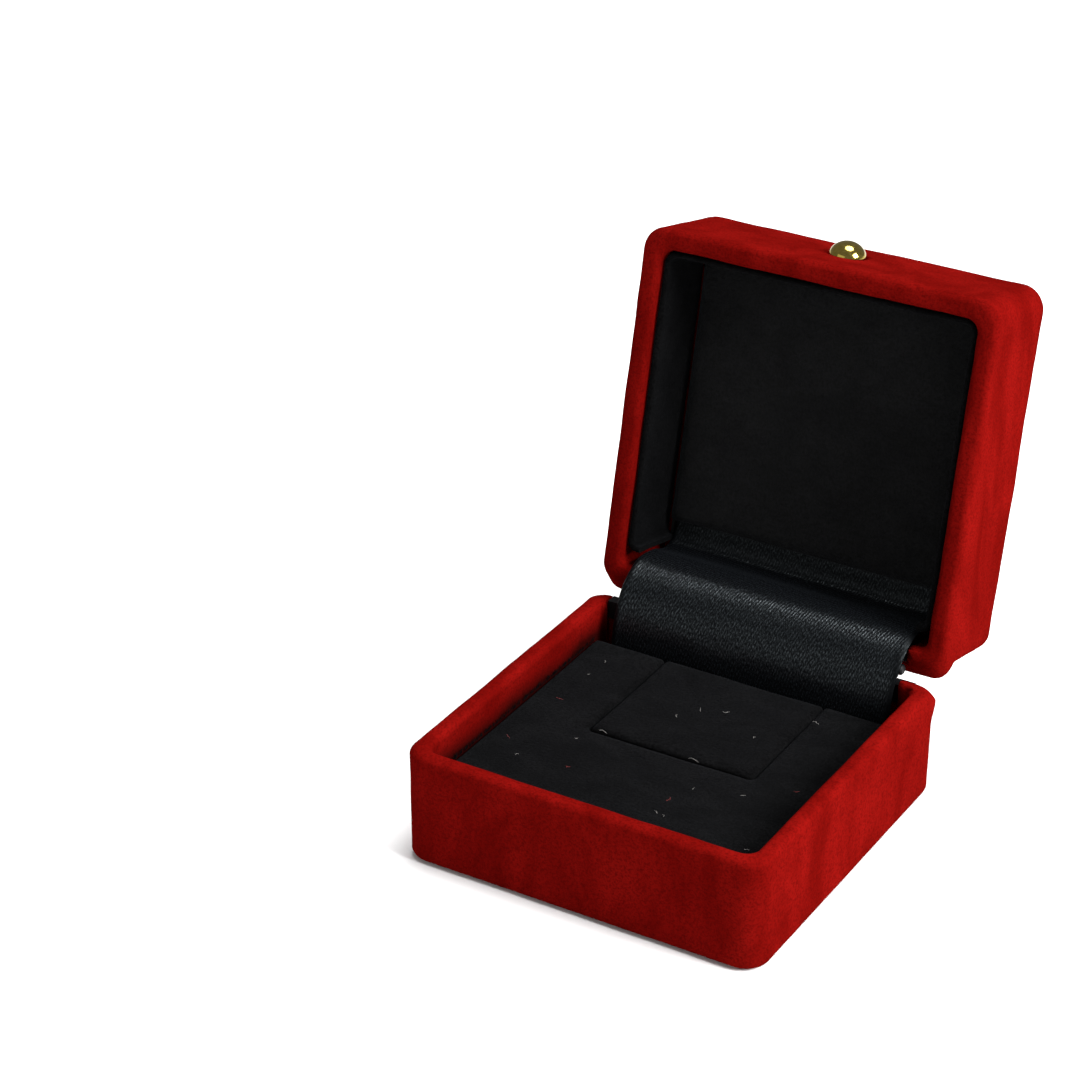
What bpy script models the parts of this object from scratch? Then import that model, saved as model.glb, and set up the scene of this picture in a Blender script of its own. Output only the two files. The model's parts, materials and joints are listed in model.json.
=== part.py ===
"""Flock-covered jewelry gift box, standing open.

The origin is the centre of the base's bottom face.  +X is to the right of somebody looking into
the box, -Y is the front and +Z is up.  The lid is drawn as if the box were shut, then turned back
about the hinge pin by its parent empty.
"""
import math

import bmesh
import bpy
from mathutils import Matrix, Vector

GAP = 0.0003                    # clearance between pieces that touch

# Base tray
BASE_WIDTH = 0.0604
BASE_DEPTH = 0.0590
BASE_HEIGHT = 0.0187
BASE_WALL = 0.0030
BASE_FLOOR = 0.0020
BASE_RIM_ROUND = 0.0011
FOOT_ROUND = 0.0015
OUTER_CORNER = 0.0038           # upright corners, outside and inside
INNER_CORNER = 0.0022
REAR_CORNER_SHARE = 0.75        # the rear corners are tighter than the front ones

# Lid, in the shut position
LID_HEIGHT = 0.0201
LID_FLARE = 0.0002              # how far the lid's rim stands outside the base
LID_WALL = 0.0034
LID_TOP_ROUND = 0.0019
LID_RIM_ROUND = 0.0011
LID_FRAME_WIDTH = 0.0035        # border round the inset plate
LID_FRAME_ROUND = 0.0009
PLATE_WELL = 0.0033             # depth of the well that holds the plate
LID_CEILING = 0.0018

# Ridge along the rear of both shells, with a valley at the parting line
VALLEY_INSET = 0.0014
RIDGE_PROUD = 0.0013
RIDGE_SLOPE_HEIGHT = 0.0028
RIDGE_FADE_HEIGHT = 0.0036

# Hinge
HINGE_Y = 0.0299
HINGE_Z = 0.0192
LID_OPEN_DEGREES = 103.0
PIN_RADIUS = 0.00035
BARREL_BORE = 0.00065
BARREL_RADIUS = 0.0010
LEAF_THICKNESS = 0.0005
BASE_LEAF_HALF_WIDTH = 0.0268
LID_LEAF_HALF_WIDTH = 0.0240
LEAF_TAB_HALF_WIDTH = 0.0035
LEAF_TAB_HEIGHT = 0.0088
LEAF_RAIL_HEIGHT = 0.0031
LEAF_POCKET = 0.0009            # depth of the pocket that sinks the leaf into the wall
RIVET_SPACING = 0.0180
RIVET_RADIUS = 0.0005
RIVET_HEAD_RADIUS = 0.0012
RIVET_HEAD_HEIGHT = 0.00035
RIVET_HOLE = 0.0008
RIVET_LENGTH = 0.0024
BASE_KNUCKLE = (0.0176, 0.0232)   # from and to, either side of the middle
LID_KNUCKLE = (0.0115, 0.0173)
SPRING_HALF_LENGTH = 0.0036
SPRING_TURNS = 7
SPRING_WIRE = 0.00016
SPRING_RADIUS = 0.00085

# Insert in the base
FOAM_TOP = 0.0095
BOARD_THICKNESS = 0.0008
PAD_THICKNESS = 0.0023
PAD_TOP = 0.0132
INSERT_REAR = 0.0235
INSERT_SIDE_GAP = 0.0004
FLAP_HALF_WIDTH = 0.0141
FLAP_FRONT = -0.0011
FLAP_GAP = 0.0005
FLAP_PRESS_DEGREES = 6.0
RING_SLOT = 0.0009              # slit in the foam under the flap's front edge

# Lining in the lid, in the shut position
LINING_WALL = 0.0008
LINING_TOP_INSET = 0.0012       # how far the lining stays back from the lid's rim
LINING_RETURN = 0.0018          # how far the lining's ends turn in towards the strap
LINING_END_CORNER = 0.0014
LINING_REAR_GAP = 0.0026        # bare flock between the lining's ends and the lid's rear wall
LINER_PAD_THICKNESS = 0.0015
LINER_PAD_REAR = 0.0185
LINER_BOARD_REAR = 0.0240

# Plate on the lid
PLATE_THICKNESS = 0.0005
BACKING_THICKNESS = 0.0003
PLATE_CORNER = 0.0006

# Dome stud on the lid's front
STUD_RADIUS = 0.0030
STUD_HEIGHT = 0.0026
STUD_SUNK = 0.0002              # how far the dome's edge sits below the flock
STUD_SEAT = 0.0006              # depth of the seat moulded in the wall
STUD_ABOVE_RIM = 0.0106
STUD_SHANK = 0.0009
STUD_DEPTH = 0.0022

# Satin strap over the hinge, as points (y, z) on its middle line
STRAP_HALF_WIDTH = 0.0246
STRAP_THICKNESS = 0.0008
STRAP_ROUTE = [
    (0.0242, 0.0060),
    (0.0242, 0.0130),
    (0.0246, 0.0180),
    (0.0271, 0.0218),
    (0.0315, 0.0241),
    (0.0362, 0.0237),
    (0.0404, 0.0223),
    (0.0434, 0.0227),
    (0.0449, 0.0264),
]

CORNER_STEPS = 7
ROUND_STEPS = 4
TURN_STEPS = 24

HALF_WIDTH = BASE_WIDTH / 2
HALF_DEPTH = BASE_DEPTH / 2
LID_RIM_Z = BASE_HEIGHT + GAP
LID_TOP_Z = LID_RIM_Z + LID_HEIGHT
LID_HALF_WIDTH = HALF_WIDTH + LID_FLARE
LID_FRONT = -HALF_DEPTH - LID_FLARE
WELL_FLOOR_Z = LID_TOP_Z - PLATE_WELL
CEILING_Z = WELL_FLOOR_Z - LID_CEILING
HINGE_AXIS = Vector((0, HINGE_Y, HINGE_Z))
FLAP_AXIS = Vector((0, INSERT_REAR - GAP, FOAM_TOP + GAP + BOARD_THICKNESS / 2))


def clear_scene():
    for old in list(bpy.data.objects):
        bpy.data.objects.remove(old, do_unlink=True)


def make_material(name, colour, roughness, metallic=0.0):
    material = bpy.data.materials.new(name)
    material.use_nodes = True
    shader = material.node_tree.nodes["Principled BSDF"]
    shader.inputs["Base Color"].default_value = (*colour, 1.0)
    shader.inputs["Roughness"].default_value = roughness
    shader.inputs["Metallic"].default_value = metallic
    return material


def make_empty(name, location, turn_degrees=0.0):
    empty = bpy.data.objects.new(name, None)
    empty.location = location
    empty.rotation_euler = (math.radians(turn_degrees), 0, 0)
    bpy.context.collection.objects.link(empty)
    return empty


def make_object(name, bm, material=None, axis_empty=None):
    """Turn a bmesh into a named object; under an axis empty it keeps its own coordinates."""
    bmesh.ops.recalc_face_normals(bm, faces=bm.faces)
    mesh = bpy.data.meshes.new(name)
    bm.to_mesh(mesh)
    bm.free()
    mesh.shade_smooth()
    mesh.set_sharp_from_angle(angle=math.radians(35))
    obj = bpy.data.objects.new(name, mesh)
    bpy.context.collection.objects.link(obj)
    if material:
        mesh.materials.append(material)
    if axis_empty:
        obj.parent = axis_empty
        obj.location = -axis_empty.location
    return obj


def rounded_loop(half_x, y_front, y_rear, radius, z):
    """Points of a level rectangle with rounded corners."""
    rear = radius * REAR_CORNER_SHARE
    corners = [
        (half_x - rear, y_rear - rear, rear, 0),
        (-half_x + rear, y_rear - rear, rear, 90),
        (-half_x + radius, y_front + radius, radius, 180),
        (half_x - radius, y_front + radius, radius, 270),
    ]
    points = []
    for centre_x, centre_y, radius, start in corners:
        for step in range(CORNER_STEPS + 1):
            angle = math.radians(start + 90 * step / CORNER_STEPS)
            x = centre_x + radius * math.cos(angle)
            y = centre_y + radius * math.sin(angle)
            points.append((x, y, z))
    return points


def loft(loops):
    """A closed skin through a stack of loops, with its first and last loops capped."""
    bm = bmesh.new()
    rings = [[bm.verts.new(point) for point in loop] for loop in loops]
    count = len(rings[0])
    for lower, upper in zip(rings, rings[1:]):
        for i in range(count):
            j = (i + 1) % count
            bm.faces.new((lower[i], lower[j], upper[j], upper[i]))
    bm.faces.new(rings[0])
    bm.faces.new(rings[-1])
    return bm


def extruded(outline, low, high, place):
    """A prism on a flat outline; place turns (a, b, distance) into a point."""
    bm = bmesh.new()
    start = [bm.verts.new(place(a, b, low)) for a, b in outline]
    finish = [bm.verts.new(place(a, b, high)) for a, b in outline]
    count = len(outline)
    for i in range(count):
        j = (i + 1) % count
        bm.faces.new((start[i], start[j], finish[j], finish[i]))
    bm.faces.new(start)
    bm.faces.new(finish)
    return bm


def along_x(y, z, x):
    return (x, y, z)


def along_z(x, y, z):
    return (x, y, z)


def box_outline(a_low, a_high, b_low, b_high):
    return [(a_low, b_low), (a_high, b_low), (a_high, b_high), (a_low, b_high)]


def rounded_corners(corners, steps=4):
    """Outline with right-angled corners given as (x, y, radius), each drawn as an arc."""
    outline = []
    for index, (x, y, radius) in enumerate(corners):
        if radius == 0:
            outline.append((x, y))
            continue
        corner = Vector((x, y))
        before = (Vector(corners[index - 1][:2]) - corner).normalized()
        after = (Vector(corners[(index + 1) % len(corners)][:2]) - corner).normalized()
        for step in range(steps + 1):
            angle = math.pi / 2 * step / steps
            offset = before * (1 - math.sin(angle)) + after * (1 - math.cos(angle))
            outline.append(tuple(corner + radius * offset))
    return outline


def turned(profile, origin, direction):
    """A turned piece: (radius, height) points, from one end on the axis to the other."""
    bm = bmesh.new()
    rings = []
    for radius, height in profile:
        if radius == 0:
            rings.append([bm.verts.new((0, 0, height))])
            continue
        ring = []
        for step in range(TURN_STEPS):
            angle = math.tau * step / TURN_STEPS
            ring.append(bm.verts.new((radius * math.cos(angle), radius * math.sin(angle), height)))
        rings.append(ring)
    for lower, upper in zip(rings, rings[1:]):
        for i in range(TURN_STEPS):
            j = (i + 1) % TURN_STEPS
            corners = [lower[i % len(lower)], lower[j % len(lower)]]
            corners += [upper[j % len(upper)], upper[i % len(upper)]]
            bm.faces.new(list(dict.fromkeys(corners)))
    turn = Vector((0, 0, 1)).rotation_difference(Vector(direction)).to_matrix().to_4x4()
    bm.transform(Matrix.Translation(origin) @ turn)
    return bm


def combine(target, bm, operation, axis_empty=None):
    """Cut from, or join to, the target with a hidden helper shape."""
    helper = make_object(f"helper_{len(bpy.data.objects):03d}", bm, axis_empty=axis_empty)
    helper.hide_render = True
    helper.display_type = "WIRE"
    modifier = target.modifiers.new(operation.lower(), "BOOLEAN")
    modifier.operation = operation
    modifier.object = helper
    return helper


def ridge_y(distance):
    """Rear face of either shell, at a distance from the parting line."""
    crest = HALF_DEPTH + RIDGE_PROUD
    if distance <= RIDGE_SLOPE_HEIGHT:
        valley = HALF_DEPTH - VALLEY_INSET
        return valley + (crest - valley) * distance / RIDGE_SLOPE_HEIGHT
    if distance >= RIDGE_SLOPE_HEIGHT + RIDGE_FADE_HEIGHT:
        return HALF_DEPTH
    share = (distance - RIDGE_SLOPE_HEIGHT) / RIDGE_FADE_HEIGHT
    return HALF_DEPTH + RIDGE_PROUD * (1 + math.cos(math.pi * share)) / 2


def ridge_distances():
    """Where the wall needs loops: down the slope and round the back of the ridge."""
    fade = [RIDGE_SLOPE_HEIGHT + RIDGE_FADE_HEIGHT * step / 4 for step in range(5)]
    return [RIDGE_SLOPE_HEIGHT * 0.85] + fade


def corner_radius(inset, wall):
    """Upright corners tighten evenly from the outside of a wall to its inside."""
    return OUTER_CORNER - (OUTER_CORNER - INNER_CORNER) * min(inset / wall, 1)


def quarter_turn(steps=ROUND_STEPS):
    """Sine and one-minus-cosine of angles from 0 to 90 degrees."""
    angles = [math.pi / 2 * step / steps for step in range(steps + 1)]
    return [(math.sin(angle), 1 - math.cos(angle)) for angle in angles]


def rim_loops(half_x, y_front, wall, rim_round, rim_z, into_shell):
    """Loops over a shell's rim, from its outer wall to its inner wall.

    into_shell is -1 where the shell lies below its rim and +1 where it lies above.
    """
    loops = []
    rear_wall = HALF_DEPTH - wall
    rear_round = rim_round * 0.6
    for rise, inset_share in quarter_turn():
        inset = rim_round * inset_share
        distance = rim_round * (1 - rise)
        z = rim_z + into_shell * distance
        rear = ridge_y(distance) - inset * 0.25
        radius = corner_radius(inset, wall)
        loops.append(rounded_loop(half_x - inset, y_front + inset, rear, radius, z))
    for rise, inset_share in reversed(quarter_turn()):
        inset = wall - rim_round * inset_share
        z = rim_z + into_shell * rim_round * (1 - rise)
        rear = rear_wall + rear_round * inset_share
        radius = corner_radius(inset, wall)
        loops.append(rounded_loop(half_x - inset, y_front + inset, rear, radius, z))
    return loops


def base_loops():
    loops = []
    for rise, inset_share in quarter_turn():
        inset = FOOT_ROUND * (1 - rise)
        z = FOOT_ROUND * inset_share
        radius = corner_radius(inset, BASE_WALL)
        loops.append(rounded_loop(HALF_WIDTH - inset, -HALF_DEPTH + inset, HALF_DEPTH - inset, radius, z))
    for distance in reversed(ridge_distances()):
        z = BASE_HEIGHT - distance
        loops.append(rounded_loop(HALF_WIDTH, -HALF_DEPTH, ridge_y(distance), OUTER_CORNER, z))
    loops += rim_loops(HALF_WIDTH, -HALF_DEPTH, BASE_WALL, BASE_RIM_ROUND, BASE_HEIGHT, -1)
    floor_round = 0.0008
    for inset, z in ((BASE_WALL, BASE_FLOOR + floor_round), (BASE_WALL + floor_round, BASE_FLOOR)):
        loops.append(rounded_loop(HALF_WIDTH - inset, -HALF_DEPTH + inset, HALF_DEPTH - inset, INNER_CORNER, z))
    return loops


def hinge_pocket(rear_wall, pocket_end_z, notch_z, beyond_z, half_width):
    """Shapes that sink a hinge leaf into a rear wall and let it over the wall's edge."""
    low, high = sorted((pocket_end_z, beyond_z))
    pocket = box_outline(rear_wall - 0.0005, rear_wall + LEAF_POCKET, low, high)
    low, high = sorted((notch_z, beyond_z))
    notch = box_outline(rear_wall - 0.0004, HALF_DEPTH + 0.0020, low, high)
    return [extruded(outline, -half_width, half_width, along_x) for outline in (pocket, notch)]


def rivet_places(z):
    return [(spot * RIVET_SPACING, z) for spot in (-1, 0, 1)]


def rivet_hole(x, z, y_from, y_to):
    profile = [(0, 0), (RIVET_HOLE, 0), (RIVET_HOLE, y_to - y_from), (0, y_to - y_from)]
    return turned(profile, (x, y_from, z), (0, 1, 0))


def make_base_shell(flock):
    shell = make_object("base_shell", loft(base_loops()), flock)
    rear_wall = HALF_DEPTH - BASE_WALL
    leaf_top = HINGE_Z - 0.00075
    pocket_end = leaf_top - LEAF_TAB_HEIGHT - GAP
    notch = leaf_top - LEAF_THICKNESS - GAP
    half_width = BASE_LEAF_HALF_WIDTH + GAP
    for shape in hinge_pocket(rear_wall, pocket_end, notch, BASE_HEIGHT + 0.001, half_width):
        combine(shell, shape, "DIFFERENCE")
    for x, z in rivet_places(base_rivet_z()):
        combine(shell, rivet_hole(x, z, rear_wall, rear_wall + 0.0026), "DIFFERENCE")
    return shell


def base_rivet_z():
    return HINGE_Z - 0.00075 - LEAF_TAB_HEIGHT + 0.0018


def lid_rivet_z():
    return HINGE_Z + 0.00005 + LEAF_TAB_HEIGHT - 0.0018


def leaf_outline(half_width, rail_end, tab_end):
    """Upright face of a leaf as (x, z): a rail along the hinge with three tabs."""
    outline = [(-half_width, rail_end)]
    for spot in (-1, 0, 1):
        middle = spot * RIVET_SPACING
        outline += [(middle - LEAF_TAB_HALF_WIDTH, rail_end), (middle - LEAF_TAB_HALF_WIDTH, tab_end)]
        outline += [(middle + LEAF_TAB_HALF_WIDTH, tab_end), (middle + LEAF_TAB_HALF_WIDTH, rail_end)]
    outline.append((half_width, rail_end))
    return outline


def barrel(x_from, x_to):
    """One knuckle: a short tube round the hinge axis."""
    bm = bmesh.new()
    rings = []
    for x, radius in ((x_from, BARREL_RADIUS), (x_to, BARREL_RADIUS), (x_to, BARREL_BORE), (x_from, BARREL_BORE)):
        ring = []
        for step in range(TURN_STEPS):
            angle = math.tau * step / TURN_STEPS
            y = HINGE_Y + radius * math.cos(angle)
            z = HINGE_Z + radius * math.sin(angle)
            ring.append(bm.verts.new((x, y, z)))
        rings.append(ring)
    for i in range(4):
        for j in range(TURN_STEPS):
            k = (j + 1) % TURN_STEPS
            following = rings[(i + 1) % 4]
            bm.faces.new((rings[i][j], rings[i][k], following[k], following[j]))
    return bm


def make_leaf(name, steel, rear_wall, half_width, flange_z, upright, knuckle, tongue_end, axis_empty=None):
    """A stamped hinge leaf: upright face, flange over the wall's edge, and two knuckles.

    upright is -1 where the leaf runs down from the flange and +1 where it runs up.
    """
    face_front = rear_wall + 0.0001
    face_back = face_front + LEAF_THICKNESS
    flange_low, flange_high = flange_z
    edge = flange_high if upright < 0 else flange_low
    outline = leaf_outline(half_width, edge + upright * LEAF_RAIL_HEIGHT, edge + upright * LEAF_TAB_HEIGHT)
    outline += [(half_width, edge), (-half_width, edge)]
    leaf = make_object(name, extruded(outline, face_front, face_back, lambda x, z, y: (x, y, z)), steel, axis_empty)
    flange_end = HINGE_Y - BARREL_RADIUS - 0.0004
    flange = box_outline(face_front + LEAF_THICKNESS / 2, flange_end, flange_low, flange_high)
    combine(leaf, extruded(flange, -half_width, half_width, along_x), "UNION", axis_empty)
    for side in (-1, 1):
        x_low, x_high = sorted((side * knuckle[0], side * knuckle[1]))
        tongue = box_outline(flange_end - 0.0003, tongue_end, flange_low, flange_high)
        combine(leaf, extruded(tongue, x_low, x_high, along_x), "UNION", axis_empty)
        combine(leaf, barrel(x_low, x_high), "UNION", axis_empty)
    rivet_z = base_rivet_z() if upright < 0 else lid_rivet_z()
    for x, z in rivet_places(rivet_z):
        combine(leaf, rivet_hole(x, z, face_front - 0.001, face_back + 0.001), "DIFFERENCE", axis_empty)
    return leaf


def make_rivets(name, steel, rear_wall, z, axis_empty=None):
    head_back = rear_wall + 0.0001 - GAP
    head_front = head_back - RIVET_HEAD_HEIGHT
    length = RIVET_HEAD_HEIGHT + RIVET_LENGTH
    profile = [
        (0, 0),
        (RIVET_HEAD_RADIUS * 0.7, 0),
        (RIVET_HEAD_RADIUS, RIVET_HEAD_HEIGHT * 0.6),
        (RIVET_HEAD_RADIUS, RIVET_HEAD_HEIGHT),
        (RIVET_RADIUS, RIVET_HEAD_HEIGHT),
        (RIVET_RADIUS, length),
        (0, length),
    ]
    for number, (x, rivet_z) in enumerate(rivet_places(z), start=1):
        make_object(f"{name}_{number}", turned(profile, (x, head_front, rivet_z), (0, 1, 0)), steel, axis_empty)


def make_pin(steel):
    """Hinge pin with a peened head at each end."""
    reach = BASE_KNUCKLE[1] + GAP
    head = 0.0005
    head_radius = BARREL_RADIUS * 0.9
    profile = [
        (0, -reach - head),
        (head_radius * 0.7, -reach - head),
        (head_radius, -reach - head / 2),
        (head_radius, -reach),
        (PIN_RADIUS, -reach),
        (PIN_RADIUS, reach),
        (head_radius, reach),
        (head_radius, reach + head / 2),
        (head_radius * 0.7, reach + head),
        (0, reach + head),
    ]
    return make_object("hinge_pin", turned(profile, HINGE_AXIS, (1, 0, 0)), steel)


def tube(points, radius, sides):
    """A round wire along a line of points, capped at both ends."""
    points = [Vector(point) for point in points]
    loops = []
    side = Vector((1, 0, 0))
    for index, point in enumerate(points):
        before = points[max(index - 1, 0)]
        after = points[min(index + 1, len(points) - 1)]
        direction = (after - before).normalized()
        side = (side - direction * side.dot(direction)).normalized()
        other = direction.cross(side)
        loop = []
        for step in range(sides):
            angle = math.tau * step / sides
            loop.append(point + radius * (math.cos(angle) * side + math.sin(angle) * other))
        loops.append(loop)
    return loft(loops)


def make_spring(steel):
    """Coil spring round the middle of the pin, with a leg on the base's side."""
    steps_per_turn = 14
    total = SPRING_TURNS * steps_per_turn
    points = []
    start_angle = math.radians(-90)
    for step in range(total + 1):
        share = step / total
        angle = start_angle + math.tau * SPRING_TURNS * share
        x = SPRING_HALF_LENGTH * (2 * share - 1)
        y = HINGE_Y + SPRING_RADIUS * math.cos(angle)
        z = HINGE_Z + SPRING_RADIUS * math.sin(angle)
        points.append((x, y, z))
    leg_reach = 0.0006
    first = (points[0][0], points[0][1] - leg_reach, points[0][2])
    last = (points[-1][0], points[-1][1] - leg_reach, points[-1][2])
    return make_object("hinge_spring", tube([first] + points + [last], SPRING_WIRE, 6), steel)


def smooth_route(points, steps):
    """A smooth line through the points, level with its neighbours' directions at each."""
    padded = [points[0]] + list(points) + [points[-1]]
    route = []
    for before, start, finish, after in zip(padded, padded[1:], padded[2:], padded[3:]):
        for step in range(steps):
            t = step / steps
            place = []
            for a, b, c, d in zip(before, start, finish, after):
                bend = (-a + 3 * b - 3 * c + d) * t**3 + (2 * a - 5 * b + 4 * c - d) * t**2
                place.append(0.5 * (bend + (c - a) * t + 2 * b))
            route.append(tuple(place))
    route.append(tuple(points[-1]))
    return route


def make_strap(satin):
    route = smooth_route(STRAP_ROUTE, 4)
    front = []
    back = []
    for index, (y, z) in enumerate(route):
        before = route[max(index - 1, 0)]
        after = route[min(index + 1, len(route) - 1)]
        along = Vector((after[0] - before[0], after[1] - before[1])).normalized()
        off_y = -along.y * STRAP_THICKNESS / 2
        off_z = along.x * STRAP_THICKNESS / 2
        front.append((y + off_y, z + off_z))
        back.append((y - off_y, z - off_z))
    outline = front + back[::-1]
    return make_object("hinge_strap", extruded(outline, -STRAP_HALF_WIDTH, STRAP_HALF_WIDTH, along_x), satin)


def surround_outline(half_x, y_front, y_rear):
    """Level U shape that leaves the middle of its rear open for the flap."""
    notch_x = FLAP_HALF_WIDTH + FLAP_GAP
    notch_y = FLAP_FRONT - FLAP_GAP
    return rounded_corners([
        (-half_x, y_front, INNER_CORNER),
        (half_x, y_front, INNER_CORNER),
        (half_x, y_rear, 0),
        (notch_x, y_rear, 0),
        (notch_x, notch_y, 0),
        (-notch_x, notch_y, 0),
        (-notch_x, y_rear, 0),
        (-half_x, y_rear, 0),
    ])


def insert_limits():
    half_x = HALF_WIDTH - BASE_WALL - INSERT_SIDE_GAP
    return half_x, -HALF_DEPTH + BASE_WALL + INSERT_SIDE_GAP


def make_insert(foam, card, velvet):
    half_x, y_front = insert_limits()
    foam_low = BASE_FLOOR + 0.0012
    slot_front = FLAP_FRONT - FLAP_GAP / 2 - RING_SLOT / 2
    front_block = rounded_corners([
        (-half_x, y_front, INNER_CORNER),
        (half_x, y_front, INNER_CORNER),
        (half_x, slot_front, 0),
        (-half_x, slot_front, 0),
    ])
    make_object("insert_foam_front", extruded(front_block, foam_low, FOAM_TOP, along_z), foam)
    make_rear_foam(foam, half_x, foam_low, slot_front + RING_SLOT)
    board_low = FOAM_TOP + GAP
    board = surround_outline(half_x, y_front, INSERT_REAR)
    make_object("insert_board", extruded(board, board_low, board_low + BOARD_THICKNESS, along_z), card)
    pad = surround_outline(half_x, y_front, INSERT_REAR)
    make_object("insert_pad", extruded(pad, PAD_TOP - PAD_THICKNESS, PAD_TOP, along_z), velvet)


def make_rear_foam(foam, half_x, foam_low, y_front):
    """Foam behind the ring slot; its middle falls away so that the flap can be pressed."""
    block = box_outline(-half_x, half_x, y_front, INSERT_REAR - GAP)
    rear_foam = make_object("insert_foam_rear", extruded(block, foam_low, FOAM_TOP, along_z), foam)
    drop = (INSERT_REAR - FLAP_FRONT) * math.tan(math.radians(FLAP_PRESS_DEGREES)) + 0.0002
    relief = [
        (y_front - 0.001, FOAM_TOP - drop),
        (INSERT_REAR + 0.001, FOAM_TOP - 0.0001),
        (INSERT_REAR + 0.001, FOAM_TOP + 0.001),
        (y_front - 0.001, FOAM_TOP + 0.001),
    ]
    reach = FLAP_HALF_WIDTH + FLAP_GAP
    combine(rear_foam, extruded(relief, -reach, reach, along_x), "DIFFERENCE")


def make_ring_flap(card, velvet):
    axis = make_empty("ring_flap_axis", FLAP_AXIS)
    outline = box_outline(-FLAP_HALF_WIDTH, FLAP_HALF_WIDTH, FLAP_FRONT, INSERT_REAR - 0.0001)
    board_low = FOAM_TOP + GAP
    board = extruded(outline, board_low, board_low + BOARD_THICKNESS, along_z)
    make_object("flap_board", board, card, axis)
    pad = extruded(outline, PAD_TOP - PAD_THICKNESS, PAD_TOP, along_z)
    make_object("flap_pad", pad, velvet, axis)


def lid_loops():
    """Skin of the lid from the floor of the plate's well, over the top and rim, to the ceiling."""
    frame_half_x = HALF_WIDTH - LID_FRAME_WIDTH
    frame_y = HALF_DEPTH - LID_FRAME_WIDTH
    well_corner = PLATE_CORNER + GAP
    loops = [rounded_loop(frame_half_x, -frame_y, frame_y, well_corner, WELL_FLOOR_Z)]
    for rise, spread in quarter_turn():
        out = LID_FRAME_ROUND * spread
        z = LID_TOP_Z - LID_FRAME_ROUND * (1 - rise)
        loops.append(rounded_loop(frame_half_x + out, -frame_y - out, frame_y + out, well_corner + out, z))
    for rise, drop in reversed(quarter_turn()):
        inset = LID_TOP_ROUND * drop
        z = LID_TOP_Z - LID_TOP_ROUND * (1 - rise)
        radius = OUTER_CORNER - inset * 0.5
        loops.append(rounded_loop(HALF_WIDTH - inset, -HALF_DEPTH + inset, HALF_DEPTH - inset, radius, z))
    for distance in reversed(ridge_distances()):
        flare = LID_FLARE * (1 - distance / LID_HEIGHT)
        z = LID_RIM_Z + distance
        loops.append(rounded_loop(HALF_WIDTH + flare, -HALF_DEPTH - flare, ridge_y(distance), OUTER_CORNER, z))
    loops += rim_loops(LID_HALF_WIDTH, LID_FRONT, LID_WALL, LID_RIM_ROUND, LID_RIM_Z, 1)
    inner_x = LID_HALF_WIDTH - LID_WALL
    inner_front = LID_FRONT + LID_WALL
    loops.append(rounded_loop(inner_x, inner_front, HALF_DEPTH - LID_WALL, INNER_CORNER, CEILING_Z))
    return loops


def stud_centre():
    return Vector((0, -HALF_DEPTH, LID_RIM_Z + STUD_ABOVE_RIM))


def make_lid_shell(flock, axis):
    shell = make_object("lid_shell", loft(lid_loops()), flock, axis)
    rear_wall = HALF_DEPTH - LID_WALL
    leaf_low = HINGE_Z + 0.00005
    pocket_end = leaf_low + LEAF_TAB_HEIGHT + GAP
    notch = leaf_low + LEAF_THICKNESS + GAP
    half_width = LID_LEAF_HALF_WIDTH + GAP
    for shape in hinge_pocket(rear_wall, pocket_end, notch, LID_RIM_Z - 0.001, half_width):
        combine(shell, shape, "DIFFERENCE", axis)
    for x, z in rivet_places(lid_rivet_z()):
        combine(shell, rivet_hole(x, z, rear_wall, rear_wall + 0.0026), "DIFFERENCE", axis)
    above = 0.002
    seat = STUD_RADIUS + GAP
    shank = STUD_SHANK + GAP
    depth = above + STUD_DEPTH + GAP
    hole = [(0, 0), (seat, 0), (seat, above + STUD_SEAT), (shank, above + STUD_SEAT), (shank, depth), (0, depth)]
    combine(shell, turned(hole, stud_centre() - Vector((0, above, 0)), (0, 1, 0)), "DIFFERENCE", axis)
    return shell


def lining_panel(half_x, y_front, y_rear):
    """Outline of a panel that fits between the lining's walls."""
    return rounded_corners([
        (-half_x, y_front, INNER_CORNER),
        (half_x, y_front, INNER_CORNER),
        (half_x, y_rear, 0),
        (-half_x, y_rear, 0),
    ])


def make_lining(card, velvet, axis):
    """Black lining of the lid: a wall whose ends turn in at the rear, a board and a pad."""
    out_x = LID_HALF_WIDTH - LID_WALL - GAP
    out_front = LID_FRONT + LID_WALL + GAP
    in_x = out_x - LINING_WALL
    in_front = out_front + LINING_WALL
    out_rear = HALF_DEPTH - LID_WALL - LINING_REAR_GAP
    in_rear = out_rear - LINING_WALL
    return_x = out_x - LINING_RETURN
    wall = rounded_corners([
        (-return_x, out_rear, 0),
        (-out_x, out_rear, LINING_END_CORNER),
        (-out_x, out_front, INNER_CORNER),
        (out_x, out_front, INNER_CORNER),
        (out_x, out_rear, LINING_END_CORNER),
        (return_x, out_rear, 0),
        (return_x, in_rear, 0),
        (in_x, in_rear, LINING_WALL),
        (in_x, in_front, INNER_CORNER),
        (-in_x, in_front, INNER_CORNER),
        (-in_x, in_rear, LINING_WALL),
        (-return_x, in_rear, 0),
    ])
    board_high = CEILING_Z - GAP
    board_low = board_high - BOARD_THICKNESS
    wall_low = LID_RIM_Z + LINING_TOP_INSET
    board_half_x = in_x - INSERT_SIDE_GAP
    board_front = in_front + INSERT_SIDE_GAP
    make_object("lid_lining_wall", extruded(wall, wall_low, board_low - GAP, along_z), velvet, axis)
    board = lining_panel(board_half_x, board_front, LINER_BOARD_REAR)
    make_object("lid_liner_board", extruded(board, board_low, board_high, along_z), card, axis)
    pad_high = board_low - GAP
    pad = lining_panel(board_half_x, board_front, LINER_PAD_REAR)
    make_object("lid_liner_pad", extruded(pad, pad_high - LINER_PAD_THICKNESS, pad_high, along_z), velvet, axis)


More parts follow.
